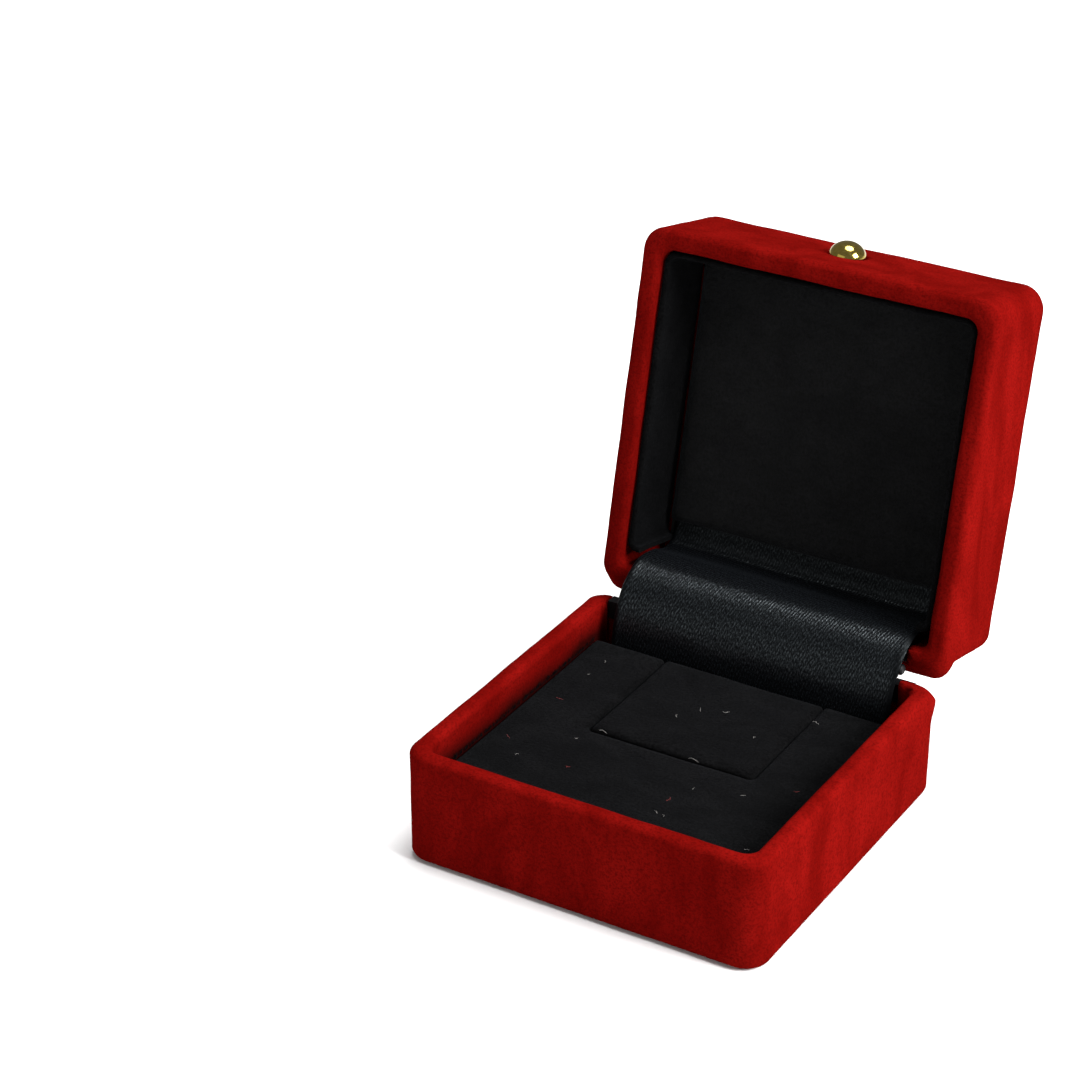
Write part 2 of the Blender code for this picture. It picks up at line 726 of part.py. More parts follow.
def make_plate(gold, card, axis):
    half_x = HALF_WIDTH - LID_FRAME_WIDTH - GAP
    half_y = HALF_DEPTH - LID_FRAME_WIDTH - GAP
    backing_low = WELL_FLOOR_Z + GAP
    plate_low = backing_low + BACKING_THICKNESS + GAP
    layers = [
        ("plate_backing", card, backing_low, BACKING_THICKNESS),
        ("gold_plate", gold, plate_low, PLATE_THICKNESS),
    ]
    for name, material, low, thickness in layers:
        lower = rounded_loop(half_x, -half_y, half_y, PLATE_CORNER, low)
        upper = rounded_loop(half_x, -half_y, half_y, PLATE_CORNER, low + thickness)
        make_object(name, loft([lower, upper]), material, axis)


def make_stud(gold, axis):
    """Half-dome with a shank that is pressed into the lid's front wall."""
    profile = [(0, STUD_HEIGHT)]
    for step in range(1, 9):
        angle = math.pi / 2 * step / 8
        profile.append((STUD_RADIUS * math.sin(angle), STUD_HEIGHT * math.cos(angle)))
    profile = [(radius, height - STUD_SUNK) for radius, height in profile]
    profile += [(STUD_SHANK, -STUD_SUNK), (STUD_SHANK, -STUD_DEPTH), (0, -STUD_DEPTH)]
    return make_object("dome_stud", turned(profile, stud_centre(), (0, -1, 0)), gold, axis)


def make_hinge(steel, axis):
    base_wall = HALF_DEPTH - BASE_WALL
    lid_wall = HALF_DEPTH - LID_WALL
    base_flange = (HINGE_Z - 0.00075 - LEAF_THICKNESS, HINGE_Z - 0.00075)
    lid_flange = (HINGE_Z + 0.00005, HINGE_Z + 0.00005 + LEAF_THICKNESS)
    base_tongue = HINGE_Y
    lid_tongue = HINGE_Y - BARREL_BORE - 0.0001
    make_leaf("hinge_leaf_base", steel, base_wall, BASE_LEAF_HALF_WIDTH, base_flange, -1, BASE_KNUCKLE, base_tongue)
    make_leaf("hinge_leaf_lid", steel, lid_wall, LID_LEAF_HALF_WIDTH, lid_flange, 1, LID_KNUCKLE, lid_tongue, axis)
    make_pin(steel)
    make_spring(steel)
    make_rivets("hinge_rivet_base", steel, base_wall, base_rivet_z())
    make_rivets("hinge_rivet_lid", steel, lid_wall, lid_rivet_z(), axis)


def build():
    clear_scene()
    flock = make_material("red_flock", (0.36, 0.010, 0.008), 0.95)
    velvet = make_material("black_velvet", (0.008, 0.008, 0.009), 0.95)
    satin = make_material("black_satin", (0.012, 0.013, 0.016), 0.35)
    foam = make_material("grey_foam", (0.10, 0.10, 0.11), 0.95)
    card = make_material("grey_card", (0.25, 0.23, 0.20), 0.85)
    gold = make_material("gold_foil", (0.55, 0.40, 0.10), 0.30, 1.0)
    steel = make_material("black_steel", (0.05, 0.05, 0.055), 0.40, 1.0)
    lid_axis = make_empty("lid_hinge_axis", HINGE_AXIS, -LID_OPEN_DEGREES)
    make_base_shell(flock)
    make_insert(foam, card, velvet)
    make_ring_flap(card, velvet)
    make_hinge(steel, lid_axis)
    make_strap(satin)
    make_lid_shell(flock, lid_axis)
    make_lining(card, velvet, lid_axis)
    make_plate(gold, card, lid_axis)
    make_stud(gold, lid_axis)


build()
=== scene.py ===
"""Looks of the jewelry gift box: red flock, black velvet, satin strap, gold foil and brass.

Everything is in metres in the frame's own axes: +X right, -Y front, +Z up.  Pieces of the lid are
drawn as if the box were shut and are then turned open about the hinge.
"""
import json
import math
import random

import bmesh
import bpy
from mathutils import Matrix, Vector, noise


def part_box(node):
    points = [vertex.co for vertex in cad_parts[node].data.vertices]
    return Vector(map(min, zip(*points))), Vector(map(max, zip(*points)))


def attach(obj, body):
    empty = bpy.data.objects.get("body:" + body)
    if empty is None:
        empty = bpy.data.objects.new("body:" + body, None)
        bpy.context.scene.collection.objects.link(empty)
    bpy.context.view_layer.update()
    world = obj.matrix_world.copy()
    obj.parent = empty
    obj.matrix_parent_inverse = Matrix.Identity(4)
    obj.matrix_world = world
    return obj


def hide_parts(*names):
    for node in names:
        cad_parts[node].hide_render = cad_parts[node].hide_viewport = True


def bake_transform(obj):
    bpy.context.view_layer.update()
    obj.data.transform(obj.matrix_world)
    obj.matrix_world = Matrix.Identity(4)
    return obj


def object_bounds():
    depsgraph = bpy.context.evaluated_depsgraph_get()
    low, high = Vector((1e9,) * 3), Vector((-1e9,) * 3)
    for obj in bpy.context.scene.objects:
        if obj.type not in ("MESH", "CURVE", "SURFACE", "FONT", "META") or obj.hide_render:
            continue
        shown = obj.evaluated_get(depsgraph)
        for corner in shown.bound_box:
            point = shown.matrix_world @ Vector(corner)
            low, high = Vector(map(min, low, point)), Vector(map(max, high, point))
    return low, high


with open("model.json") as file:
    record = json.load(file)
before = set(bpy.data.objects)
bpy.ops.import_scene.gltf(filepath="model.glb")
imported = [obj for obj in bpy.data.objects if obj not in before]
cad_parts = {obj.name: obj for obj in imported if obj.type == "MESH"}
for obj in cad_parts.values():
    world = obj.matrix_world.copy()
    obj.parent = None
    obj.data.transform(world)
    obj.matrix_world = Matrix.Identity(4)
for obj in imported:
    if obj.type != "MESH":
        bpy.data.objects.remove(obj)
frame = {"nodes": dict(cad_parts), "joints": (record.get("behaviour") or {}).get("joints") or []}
cad_low, cad_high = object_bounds()

LID_JOINT = next(joint for joint in frame["joints"] if joint["name"] == "lid_hinge")
HINGE = Vector(LID_JOINT["pos_m"])
OPEN_ANGLE = math.radians(max(LID_JOINT["range_deg"]))
OPEN_LID = Matrix.Translation(HINGE) @ Matrix.Rotation(-OPEN_ANGLE, 4, "X") @ Matrix.Translation(-HINGE)


def shut_box(node):
    """Lowest and highest corner of a lid node with the box shut."""
    shut = OPEN_LID.inverted()
    points = [shut @ vertex.co for vertex in frame["nodes"][node].data.vertices]
    low = Vector([min(point[axis] for point in points) for axis in range(3)])
    high = Vector([max(point[axis] for point in points) for axis in range(3)])
    return low, high


BASE_LOW, BASE_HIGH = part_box("base_shell")
LID_LOW, LID_HIGH = shut_box("lid_shell")
LINING_LOW, LINING_HIGH = shut_box("lid_lining_wall")
PLATE_LOW, PLATE_HIGH = shut_box("gold_plate")
LINER_LOW, LINER_HIGH = shut_box("lid_liner_pad")
STUD_LOW, STUD_HIGH = shut_box("dome_stud")
PAD_LOW, PAD_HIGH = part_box("insert_pad")
FLAP_LOW, FLAP_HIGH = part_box("flap_pad")

# Shells
HALF_WIDTH = BASE_HIGH.x
HALF_DEPTH = -BASE_LOW.y
RIM_Z = BASE_HIGH.z
LID_RIM_Z = LID_LOW.z
LID_TOP_Z = LID_HIGH.z
LID_FLARE = LID_HIGH.x - HALF_WIDTH
BASE_WALL = 0.0030
LID_WALL = 0.0034
BASE_FLOOR = 0.0020
BASE_RIM_ROUND = 0.0011
LID_RIM_ROUND = 0.0011
FOOT_ROUND = 0.0015
OUTER_CORNER = 0.0038
INNER_CORNER = 0.0022
REAR_CORNER_SHARE = 0.75
LID_TOP_ROUND = 0.0019
LID_FRAME_WIDTH = 0.0035
LID_FRAME_ROUND = 0.0009
PLATE_WELL = 0.0033
LID_CEILING = 0.0018
WELL_CORNER = 0.0009
VALLEY_INSET = 0.0014
RIDGE_PROUD = 0.0013
RIDGE_SLOPE_HEIGHT = 0.0028
RIDGE_FADE_HEIGHT = 0.0036
REAR_RIM_INSIDE = 0.6           # the rear rim is rounded less than the others on its inside
REAR_RIM_OUTSIDE = 0.25         # and less again outside, where the ridge's slope draws it in

# Cuts for the hinge leaves and the stud
LEAF_POCKET = 0.0009
BASE_CUT_LEFT = 0.0271
BASE_CUT_RIGHT = 0.0248         # flock covers the leaf's right end, as in the photograph
LEAF_COVER = 0.00025            # how much fuller the flock is over that end
LID_CUT_HALF_WIDTH = 0.0243
POCKET_HEIGHT = 0.0101
BASE_NOTCH_Z = HINGE.z - 0.00155
LID_NOTCH_Z = HINGE.z + 0.00085
PAST_SHELL = 0.0020             # how far a cutter reaches out of a shell's side
STUD_SEAT = 0.0006

# Satin strap, as points (y, z) on its middle line
STRAP_ROUTE = [
    (0.0240, 0.0060),
    (0.0240, 0.0125),
    (0.0248, 0.0172),
    (0.0272, 0.0214),
    (0.0313, 0.0240),
    (0.0360, 0.0238),
    (0.0404, 0.0223),
    (0.0434, 0.0227),
    (0.0449, 0.0264),
]
STRAP_HALF_WIDTH = 0.0246
STRAP_THICKNESS = 0.0005
STRAP_COLUMNS = 72
HEM_WIDTH = 0.0011
HEM_EXTRA = 0.00010             # added to half the thickness where the edge is turned in
HEM_ROUND = 0.00035

# Pads and lining
PAD_OVERREACH = 0.0003          # how far the fabric reaches past the outline of the bare pad
FLAP_OVERREACH = 0.0001
SLIT = 0.00015
CUSHION_OVERLAP = 0.0022        # how far the lid's cushion reaches over the end of the strap
CUSHION_REAR_CORNER = 0.0010
LINING_THICKNESS = 0.0008
LINING_ROLL = 0.00045           # radius of the rolled edge
LINING_TURN_IN = 0.0018         # how far each rear end turns in along the rear wall
LINING_REAR_CORNER = 0.0012

# Plate
PLATE_CORNER = 0.0006
PLATE_EDGE = 0.00012
STAMPED_LINE = 0.00016

# Smoothness
CORNER_STEPS = 12
CIRCLE_STEPS = 72
SIDE_STEPS = 40
ROUND_STEPS = 6


# -------------------- mesh helpers

def add_object(name, data):
    obj = bpy.data.objects.new(name, data)
    bpy.context.collection.objects.link(obj)
    return obj


def new_object(name, bm, material, sharp_degrees=50):
    """An object from a bmesh, smooth except across edges sharper than the given angle."""
    bmesh.ops.recalc_face_normals(bm, faces=bm.faces)
    mesh = bpy.data.meshes.new(name)
    bm.to_mesh(mesh)
    bm.free()
    mesh.shade_smooth()
    mesh.set_sharp_from_angle(angle=math.radians(sharp_degrees))
    if material:
        mesh.materials.append(material)
    return add_object(name, mesh)


def bake_modifiers(obj):
    """Replace the object's mesh with what its modifiers make of it."""
    depsgraph = bpy.context.evaluated_depsgraph_get()
    mesh = bpy.data.meshes.new_from_object(obj.evaluated_get(depsgraph))
    obj.modifiers.clear()
    obj.data = mesh


def open_up(obj):
    """Turn a piece that was drawn shut to where the open lid holds it."""
    obj.data.transform(OPEN_LID)
    obj.data.update()


def heading(points, index):
    """Direction of a line of points at one of them."""
    before = points[max(index - 1, 0)]
    after = points[min(index + 1, len(points) - 1)]
    return (after - before).normalized()


def rounded_loop(half_x, y_front, y_rear, radius, z):
    """Points of a level rectangle with rounded corners, evenly spaced along its sides."""
    rear = radius * REAR_CORNER_SHARE
    corners = [
        (half_x - rear, y_rear - rear, rear, 0),
        (-half_x + rear, y_rear - rear, rear, 90),
        (-half_x + radius, y_front + radius, radius, 180),
        (half_x - radius, y_front + radius, radius, 270),
    ]
    arcs = []
    for centre_x, centre_y, turn_radius, start in corners:
        arc = []
        for step in range(CORNER_STEPS + 1):
            angle = math.radians(start + 90 * step / CORNER_STEPS)
            x = centre_x + turn_radius * math.cos(angle)
            y = centre_y + turn_radius * math.sin(angle)
            arc.append(Vector((x, y, z)))
        arcs.append(arc)
    points = []
    for arc, following in zip(arcs, arcs[1:] + arcs[:1]):
        points += arc
        for step in range(1, SIDE_STEPS):
            points.append(arc[-1].lerp(following[0], step / SIDE_STEPS))
    return points


def inset_loop(inset, radius, z):
    """Outline of the base, drawn in by the same amount on every side."""
    return rounded_loop(HALF_WIDTH - inset, -HALF_DEPTH + inset, HALF_DEPTH - inset, radius, z)


def loft(loops):
    """A closed skin through a stack of loops, with its first and last loops capped."""
    bm = bmesh.new()
    rings = [[bm.verts.new(point) for point in loop] for loop in loops]
    count = len(rings[0])
    for lower, upper in zip(rings, rings[1:]):
        for i in range(count):
            j = (i + 1) % count
            bm.faces.new((lower[i], lower[j], upper[j], upper[i]))
    bm.faces.new(rings[0])
    bm.faces.new(rings[-1])
    return bm


def between(first, last, spacing):
    """Values from first towards last, without either, no further apart than spacing."""
    count = max(1, math.ceil(abs(last - first) / spacing))
    return [first + (last - first) * step / count for step in range(1, count)]


def quarter_turn(steps=ROUND_STEPS):
    """Sine and one-minus-cosine of angles from 0 to 90 degrees."""
    angles = [math.pi / 2 * step / steps for step in range(steps + 1)]
    return [(math.sin(angle), 1 - math.cos(angle)) for angle in angles]


def turned(profile, origin, direction, sides=64):
    """A turned piece: (radius, height) points, from one end on the axis to the other."""
    bm = bmesh.new()
    rings = []
    for radius, height in profile:
        if radius == 0:
            rings.append([bm.verts.new((0, 0, height))])
            continue
        ring = []
        for step in range(sides):
            angle = math.tau * step / sides
            ring.append(bm.verts.new((radius * math.cos(angle), radius * math.sin(angle), height)))
        rings.append(ring)
    for lower, upper in zip(rings, rings[1:]):
        for i in range(sides):
            j = (i + 1) % sides
            corners = [lower[i % len(lower)], lower[j % len(lower)]]
            corners += [upper[j % len(upper)], upper[i % len(upper)]]
            bm.faces.new(list(dict.fromkeys(corners)))
    turn = Vector((0, 0, 1)).rotation_difference(Vector(direction)).to_matrix().to_4x4()
    bm.transform(Matrix.Translation(origin) @ turn)
    return bm


def tube(points, radius, sides=6, taper=1.0):
    """A round thread along a line of points, capped at both ends."""
    points = [Vector(point) for point in points]
    loops = []
    side = Vector((0.31, 0.52, 0.79))
    for index, point in enumerate(points):
        direction = heading(points, index)
        side = (side - direction * side.dot(direction)).normalized()
        other = direction.cross(side)
        middle = abs(2 * index / (len(points) - 1) - 1)
        thickness = radius * (1 - (1 - taper) * middle)
        loop = []
        for step in range(sides):
            angle = math.tau * step / sides
            loop.append(point + thickness * (math.cos(angle) * side + math.sin(angle) * other))
        loops.append(loop)
    return loft(loops)


def joined(name, parts, material):
    """One object out of several bmeshes."""
    bm = bmesh.new()
    for part in parts:
        mesh = bpy.data.meshes.new("part")
        part.to_mesh(mesh)
        part.free()
        bm.from_mesh(mesh)
        bpy.data.meshes.remove(mesh)
    return new_object(name, bm, material)


def block(low, high):
    """Box between two corners."""
    bm = bmesh.new()
    bmesh.ops.create_cube(bm, size=1.0)
    low, high = Vector(low), Vector(high)
    size = high - low
    bm.transform(Matrix.Translation((low + high) / 2) @ Matrix.Diagonal((*size, 1)))
    return bm


def cut(obj, cutters):
    """Cut closed shapes out of an object."""
    helpers = []
    for bm in cutters:
        helper = new_object("cutter", bm, None)
        modifier = obj.modifiers.new("cut", "BOOLEAN")
        modifier.operation = "DIFFERENCE"
        modifier.object = helper
        helpers.append(helper)
    bake_modifiers(obj)
    for helper in helpers:
        bpy.data.objects.remove(helper, do_unlink=True)


def unevenness(point, seed, size):
    """Smooth noise from about -1 to 1 whose lumps are about size across."""
    return noise.noise(point / size + Vector((seed * 7.3, seed * 3.1, seed * 5.7)))


def soften(obj, seed, amount, size, weight=None):
    """Move a surface slightly in and out, as a moulding under flock is never quite true."""
    mesh = obj.data
    normals = [normal.vector.copy() for normal in mesh.vertex_normals]
    for vertex, normal in zip(mesh.vertices, normals):
        share = weight(vertex.co) if weight else 1.0
        lump = unevenness(vertex.co, seed, size) + 0.4 * unevenness(vertex.co, seed + 11, size * 0.35)
        vertex.co += normal * amount * share * lump
    mesh.update()


# -------------------- materials

class Look:
    """A material being made: most methods add one node and give back its output."""

    def __init__(self, name, colour, roughness, metallic=0.0):
        self.material = bpy.data.materials.new(name)
        self.material.use_nodes = True
        self.shader = self.material.node_tree.nodes["Principled BSDF"]
        self.set("Base Color", colour)
        self.set("Roughness", roughness)
        self.set("Metallic", metallic)

    def set(self, entry, value):
        """Give one of the shader's inputs a fixed value or another node's output."""
        self.feed(self.shader.inputs[entry], value)

    def feed(self, entry, value):
        if isinstance(value, bpy.types.NodeSocket):
            self.material.node_tree.links.new(value, entry)
        elif entry.type == "RGBA":
            entry.default_value = (*value, 1.0)
        else:
            entry.default_value = value

    def node(self, kind, inputs, **settings):
        """Add a node, feed its inputs by name or number, and give back all its outputs."""
        node = self.material.node_tree.nodes.new(kind)
        for key, value in settings.items():
            setattr(node, key, value)
        for entry, value in inputs.items():
            self.feed(node.inputs[entry], value)
        return node.outputs

    def mapped(self, vector, stretch, turn):
        inputs = {"Vector": vector, "Scale": stretch, "Rotation": turn}
        return self.node("ShaderNodeMapping", inputs)["Vector"]

    def place(self, stretch=(1, 1, 1), turn=(0, 0, 0)):
        """Coordinates in metres on the piece itself, stretched and turned for grain."""
        return self.mapped(self.node("ShaderNodeTexCoord", {})["Object"], stretch, turn)

    def grain(self, vector, scale, detail=2, roughness=0.5, distortion=0.0):
        """Noise whose lumps are about 1 / scale across."""
        inputs = {"Vector": vector, "Scale": scale, "Detail": detail}
        inputs.update({"Roughness": roughness, "Distortion": distortion})
        return self.node("ShaderNodeTexNoise", inputs)["Fac"]

    def remap(self, value, low, high, to_low=0, to_high=1):
        inputs = {"Value": value, "From Min": low, "From Max": high}
        inputs.update({"To Min": to_low, "To Max": to_high})
        return self.node("ShaderNodeMapRange", inputs)["Result"]

    def combine(self, operation, first, second=0):
        return self.node("ShaderNodeMath", {0: first, 1: second}, operation=operation)["Value"]

    def mix(self, share, first, second):
        """Colour that goes from the first to the second as share goes from 0 to 1."""
        inputs = {"Factor": share, 6: first, 7: second}
        return self.node("ShaderNodeMix", inputs, data_type="RGBA")[2]

    def bump(self, height, distance, strength, normal=None):
        """Relief, on top of the relief that normal already holds."""
        inputs = {"Height": height, "Distance": distance, "Strength": strength}
        if normal:
            inputs["Normal"] = normal
        return self.node("ShaderNodeBump", inputs)["Normal"]


def pile_and_painted_shade(look, place, patches):
    """How much painted shade, with some clinging black pile, darkens the base's inner walls: most of it just
    above the insert.
    """
    split = look.node("ShaderNodeSeparateXYZ", {"Vector": place})
    across = look.combine("DIVIDE", look.combine("ABSOLUTE", split["X"]), HALF_WIDTH - BASE_WALL)
    along = look.combine("DIVIDE", look.combine("ABSOLUTE", split["Y"]), HALF_DEPTH - BASE_WALL)
    inside = look.remap(look.combine("MAXIMUM", across, along), 1.005, 1.020, 1, 0)
    height = look.combine("SUBTRACT", split["Z"], look.combine("MULTIPLY", patches, 0.004))
    shade_low_down = look.remap(height, PAD_HIGH.z - 0.0018, PAD_HIGH.z + 0.0012, 0.95, 0)
    return look.combine("MULTIPLY", inside, shade_low_down)


def flock_material(name, pile_and_painted_shade_inside=False):
    """Red flock: brushed patches, a fine speckle of fibre ends and a soft sheen."""
    look = Look(name, (0.118, 0.0022, 0.0016), 1.0)
    plain = look.place()
    brushed = look.place(stretch=(1.0, 1.0, 0.45), turn=(0.3, 0.5, 0.2))
    patches = look.grain(brushed, 130, detail=4, roughness=0.55, distortion=0.6)
    speckle = look.grain(plain, 2600, detail=3, roughness=0.7)
    tufts = look.grain(plain, 700)
    tone = look.mix(look.remap(patches, 0.38, 0.64), (0.092, 0.0017, 0.0012), (0.140, 0.0030, 0.0022))
    colour = look.mix(look.remap(speckle, 0.34, 0.56, 0.62, 0), tone, (0.044, 0.0009, 0.0008))
    # painted shade, with some black pile, darkens the inner walls just above the insert
    if pile_and_painted_shade_inside:
        colour = look.mix(pile_and_painted_shade(look, plain, patches), colour, (0.010, 0.0012, 0.0010))
    look.set("Base Color", colour)
    relief = look.bump(patches, 0.00022, 0.5)
    relief = look.bump(tufts, 0.00008, 0.7, relief)
    look.set("Normal", look.bump(speckle, 0.00005, 0.9, relief))
    look.set("Specular IOR Level", 0.0)
    look.set("Sheen Weight", 0.04)
    look.set("Sheen Roughness", 0.35)
    look.set("Sheen Tint", (1.0, 0.04, 0.03))
    return look.material


def velvet_material(name, colour, sheen, pile_contrast=1.0, rubbing=2.1):
    """Black velvet: short pile with faint rubbed patches."""
    look = Look(name, colour, 1.0)
    rubbed = look.place(stretch=(0.6, 1.2, 1.0), turn=(0, 0, 0.4))
    patches = look.grain(rubbed, 170, detail=3, distortion=0.8)
    pile = look.grain(look.place(), 2400, detail=4, roughness=0.8)
    light = tuple(channel * rubbing for channel in colour)
    dark = tuple(channel * 0.30 for channel in colour)
    tone = look.mix(look.remap(patches, 0.35, 0.68), colour, light)
    look.set("Base Color", look.mix(look.remap(pile, 0.38, 0.58, pile_contrast, 0), tone, dark))
    relief = look.bump(patches, 0.00015, 0.4)
    look.set("Normal", look.bump(pile, 0.00022, 1.0, relief))
    look.set("Specular IOR Level", 0.02)
    look.set("Sheen Weight", sheen)
    look.set("Sheen Roughness", 0.45)
    look.set("Sheen Tint", (0.75, 0.80, 0.90))
    return look.material


def satin_material():
    """Black satin: diagonal twill from the strap's own weave coordinates, glinting thread by thread."""
    look = Look("black_satin", (0.012, 0.013, 0.016), 0.4)
    weave = look.node("ShaderNodeAttribute", {}, attribute_name="weave")["Vector"]
    diagonal = (0, 0, math.radians(16))
    wave = {"Scale": 620, "Distortion": 1.2, "Detail": 2, "Detail Scale": 2.5}
    wave["Vector"] = look.mapped(weave, (1, 1, 1), diagonal)
    twill = look.node("ShaderNodeTexWave", wave)["Fac"]
    threads = look.grain(look.mapped(weave, (2.0, 0.6, 1.0), diagonal), 3000, roughness=0.8)
    ridges = look.remap(twill, 0.25, 0.85, 0.40, 1)
    glints = look.combine("MULTIPLY", look.remap(threads, 0.46, 0.68), ridges)
    split = look.node("ShaderNodeSeparateXYZ", {"Vector": weave})
    off_middle = look.combine("ABSOLUTE", split["X"])
    dull_hems = look.remap(off_middle, STRAP_HALF_WIDTH - 0.0012, STRAP_HALF_WIDTH - 0.0004, 1, 0.05)
    # painted shade: the glints' colour and specular fade towards the strap's far end, for the darker band
    # there
    end_painted_dimmer = look.remap(split["Y"], 0.0290, 0.0330, 1, 0.45)
    glints = look.combine("MULTIPLY", glints, look.combine("MULTIPLY", dull_hems, end_painted_dimmer))
    look.set("Base Color", look.mix(glints, (0.0012, 0.0013, 0.0015), (0.005, 0.007, 0.009)))
    look.set("Roughness", look.remap(threads, 0.35, 0.70, 0.42, 0.30))
    look.set("Specular IOR Level", look.remap(glints, 0, 0.9, 0.06, 1.0))
    look.set("Specular Tint", (0.84, 0.95, 1.0))
    look.set("Normal", look.bump(threads, 0.00005, 0.8, look.bump(twill, 0.00005, 0.6)))
    look.set("Sheen Weight", 0.01)
    look.set("Sheen Tint", (0.7, 0.8, 1.0))
    return look.material


def foil_material():
    """Satin gold foil with faint brushing and a fine sparkle."""
    look = Look("gold_foil", (0.50, 0.38, 0.11), 0.35, 1.0)
    streaks = look.grain(look.place(stretch=(1.0, 5.0, 5.0)), 420, detail=5, roughness=0.7)
    sparkle = look.grain(look.place(), 2400, roughness=0.8)
    tone = look.mix(look.remap(streaks, 0.35, 0.65), (0.255, 0.190, 0.044), (0.330, 0.250, 0.062))
    colour = look.mix(look.remap(sparkle, 0.60, 0.70, 0, 0.7), tone, (0.55, 0.44, 0.16))
    look.set("Base Color", colour)
    look.set("Roughness", look.remap(streaks, 0.3, 0.7, 0.36, 0.46))
    look.set("Normal", look.bump(sparkle, 0.00003, 0.6, look.bump(streaks, 0.00002, 0.4)))
    return look.material


def ornament_material():
    """Darker, glossier gold of the stamped lines."""
    look = Look("stamped_gold", (0.26, 0.12, 0.04), 0.25, 1.0)
    wear = look.grain(look.place(), 900, detail=3, roughness=0.7)
    look.set("Base Color", look.mix(look.remap(wear, 0.45, 0.62), (0.15, 0.055, 0.020), (0.50, 0.30, 0.10)))
    look.set("Roughness", look.remap(wear, 0.3, 0.7, 0.18, 0.40))
    return look.material


def brass_material():
    """Polished brass plating with faint rubbing marks; its colour is painted dark, a painted reflection of
    dark surroundings.
    """
    look = Look("gold_brass", (0.80, 0.58, 0.16), 0.10, 1.0)
    marks = look.grain(look.place(), 1300, detail=4, roughness=0.7)
    # painted reflection: both tones are darker than bare brass, standing in for the dark surroundings the
    # dome reflects; the marks vary them at random
    look.set("Base Color", look.mix(look.remap(marks, 0.40, 0.65), (0.34, 0.25, 0.05), (0.42, 0.32, 0.08)))
    look.set("Roughness", look.remap(marks, 0.35, 0.70, 0.06, 0.20))
    look.set("Normal", look.bump(marks, 0.00001, 0.4))
    return look.material


def steel_material():
    """Black-oxide spring steel with brighter rubbed spots."""
    look = Look("black_steel", (0.006, 0.006, 0.007), 0.6, 0.2)
    wear = look.grain(look.place(), 600, detail=5, roughness=0.65)
    colour = look.mix(look.remap(wear, 0.52, 0.72), (0.003, 0.003, 0.0035), (0.012, 0.012, 0.013))
    look.set("Base Color", colour)
    look.set("Roughness", look.remap(wear, 0.3, 0.7, 0.70, 0.50))
    look.set("Normal", look.bump(wear, 0.00003, 0.5))
    look.set("Specular IOR Level", 0.15)
    return look.material


def card_material(name, dark, light):
    """Card with visible fibres."""
    look = Look(name, dark, 0.85)
    fibres = look.grain(look.place(stretch=(1, 5, 5)), 500, detail=4, roughness=0.7)
    look.set("Base Color", look.mix(look.remap(fibres, 0.35, 0.65), dark, light))
    look.set("Normal", look.bump(fibres, 0.00005, 0.5))
    return look.material


def foam_material():
    """Open-cell foam."""
    look = Look("grey_foam", (0.10, 0.10, 0.11), 0.95)
    cells = look.node("ShaderNodeTexVoronoi", {"Vector": look.place(), "Scale": 1600})["Distance"]
    look.set("Base Color", look.mix(look.remap(cells, 0.1, 0.7), (0.035, 0.035, 0.04), (0.14, 0.14, 0.15)))
    look.set("Normal", look.bump(cells, 0.0002, 0.7))
    return look.material


def lint_material(name, colour):
    """Loose fibre, lighter where it catches the light."""
    look = Look(name, colour, 0.7)
    marks = look.grain(look.place(), 4000)
    pale = tuple(min(1.0, channel * 1.4 + 0.03) for channel in colour)
    look.set("Base Color", look.mix(look.remap(marks, 0.4, 0.6), colour, pale))
    look.set("Sheen Weight", 0.3)
    return look.material


# -------------------- shells

def ridge_y(distance):
    """Rear face of either shell, at a distance from the parting line."""
    crest = HALF_DEPTH + RIDGE_PROUD
    if distance <= RIDGE_SLOPE_HEIGHT:
        valley = HALF_DEPTH - VALLEY_INSET
        return valley + (crest - valley) * distance / RIDGE_SLOPE_HEIGHT
    if distance >= RIDGE_SLOPE_HEIGHT + RIDGE_FADE_HEIGHT:
        return HALF_DEPTH
    share = (distance - RIDGE_SLOPE_HEIGHT) / RIDGE_FADE_HEIGHT
    return HALF_DEPTH + RIDGE_PROUD * (1 + math.cos(math.pi * share)) / 2


def ridge_distances():
    """Where the wall needs loops: up the slope and round the back of the ridge."""
    slope = [RIDGE_SLOPE_HEIGHT * share for share in (0.55, 0.75, 0.9)]
    fade = [RIDGE_SLOPE_HEIGHT + RIDGE_FADE_HEIGHT * step / 8 for step in range(9)]
    return slope + fade


def corner_radius(inset, wall):
    """Upright corners tighten evenly from the outside of a wall to its inside."""
    return OUTER_CORNER - (OUTER_CORNER - INNER_CORNER) * min(inset / wall, 1)


def rim_loops(half_x, y_front, wall, rim_round, rim_z, into_shell):
    """Loops over a shell's rim, from its outer wall to its inner wall.

    into_shell is -1 where the shell lies below its rim and +1 where it lies above.
    """
    loops = []
    rear_wall = HALF_DEPTH - wall
    rear_round = rim_round * REAR_RIM_INSIDE
    for rise, inset_share in quarter_turn():
        inset = rim_round * inset_share
        distance = rim_round * (1 - rise)
        z = rim_z + into_shell * distance
        rear = ridge_y(distance) - inset * REAR_RIM_OUTSIDE
        radius = corner_radius(inset, wall)
        loops.append(rounded_loop(half_x - inset, y_front + inset, rear, radius, z))
    for rise, inset_share in reversed(quarter_turn()):
        inset = wall - rim_round * inset_share
        z = rim_z + into_shell * rim_round * (1 - rise)
        rear = rear_wall + rear_round * inset_share
        radius = corner_radius(inset, wall)
        loops.append(rounded_loop(half_x - inset, y_front + inset, rear, radius, z))
    return loops


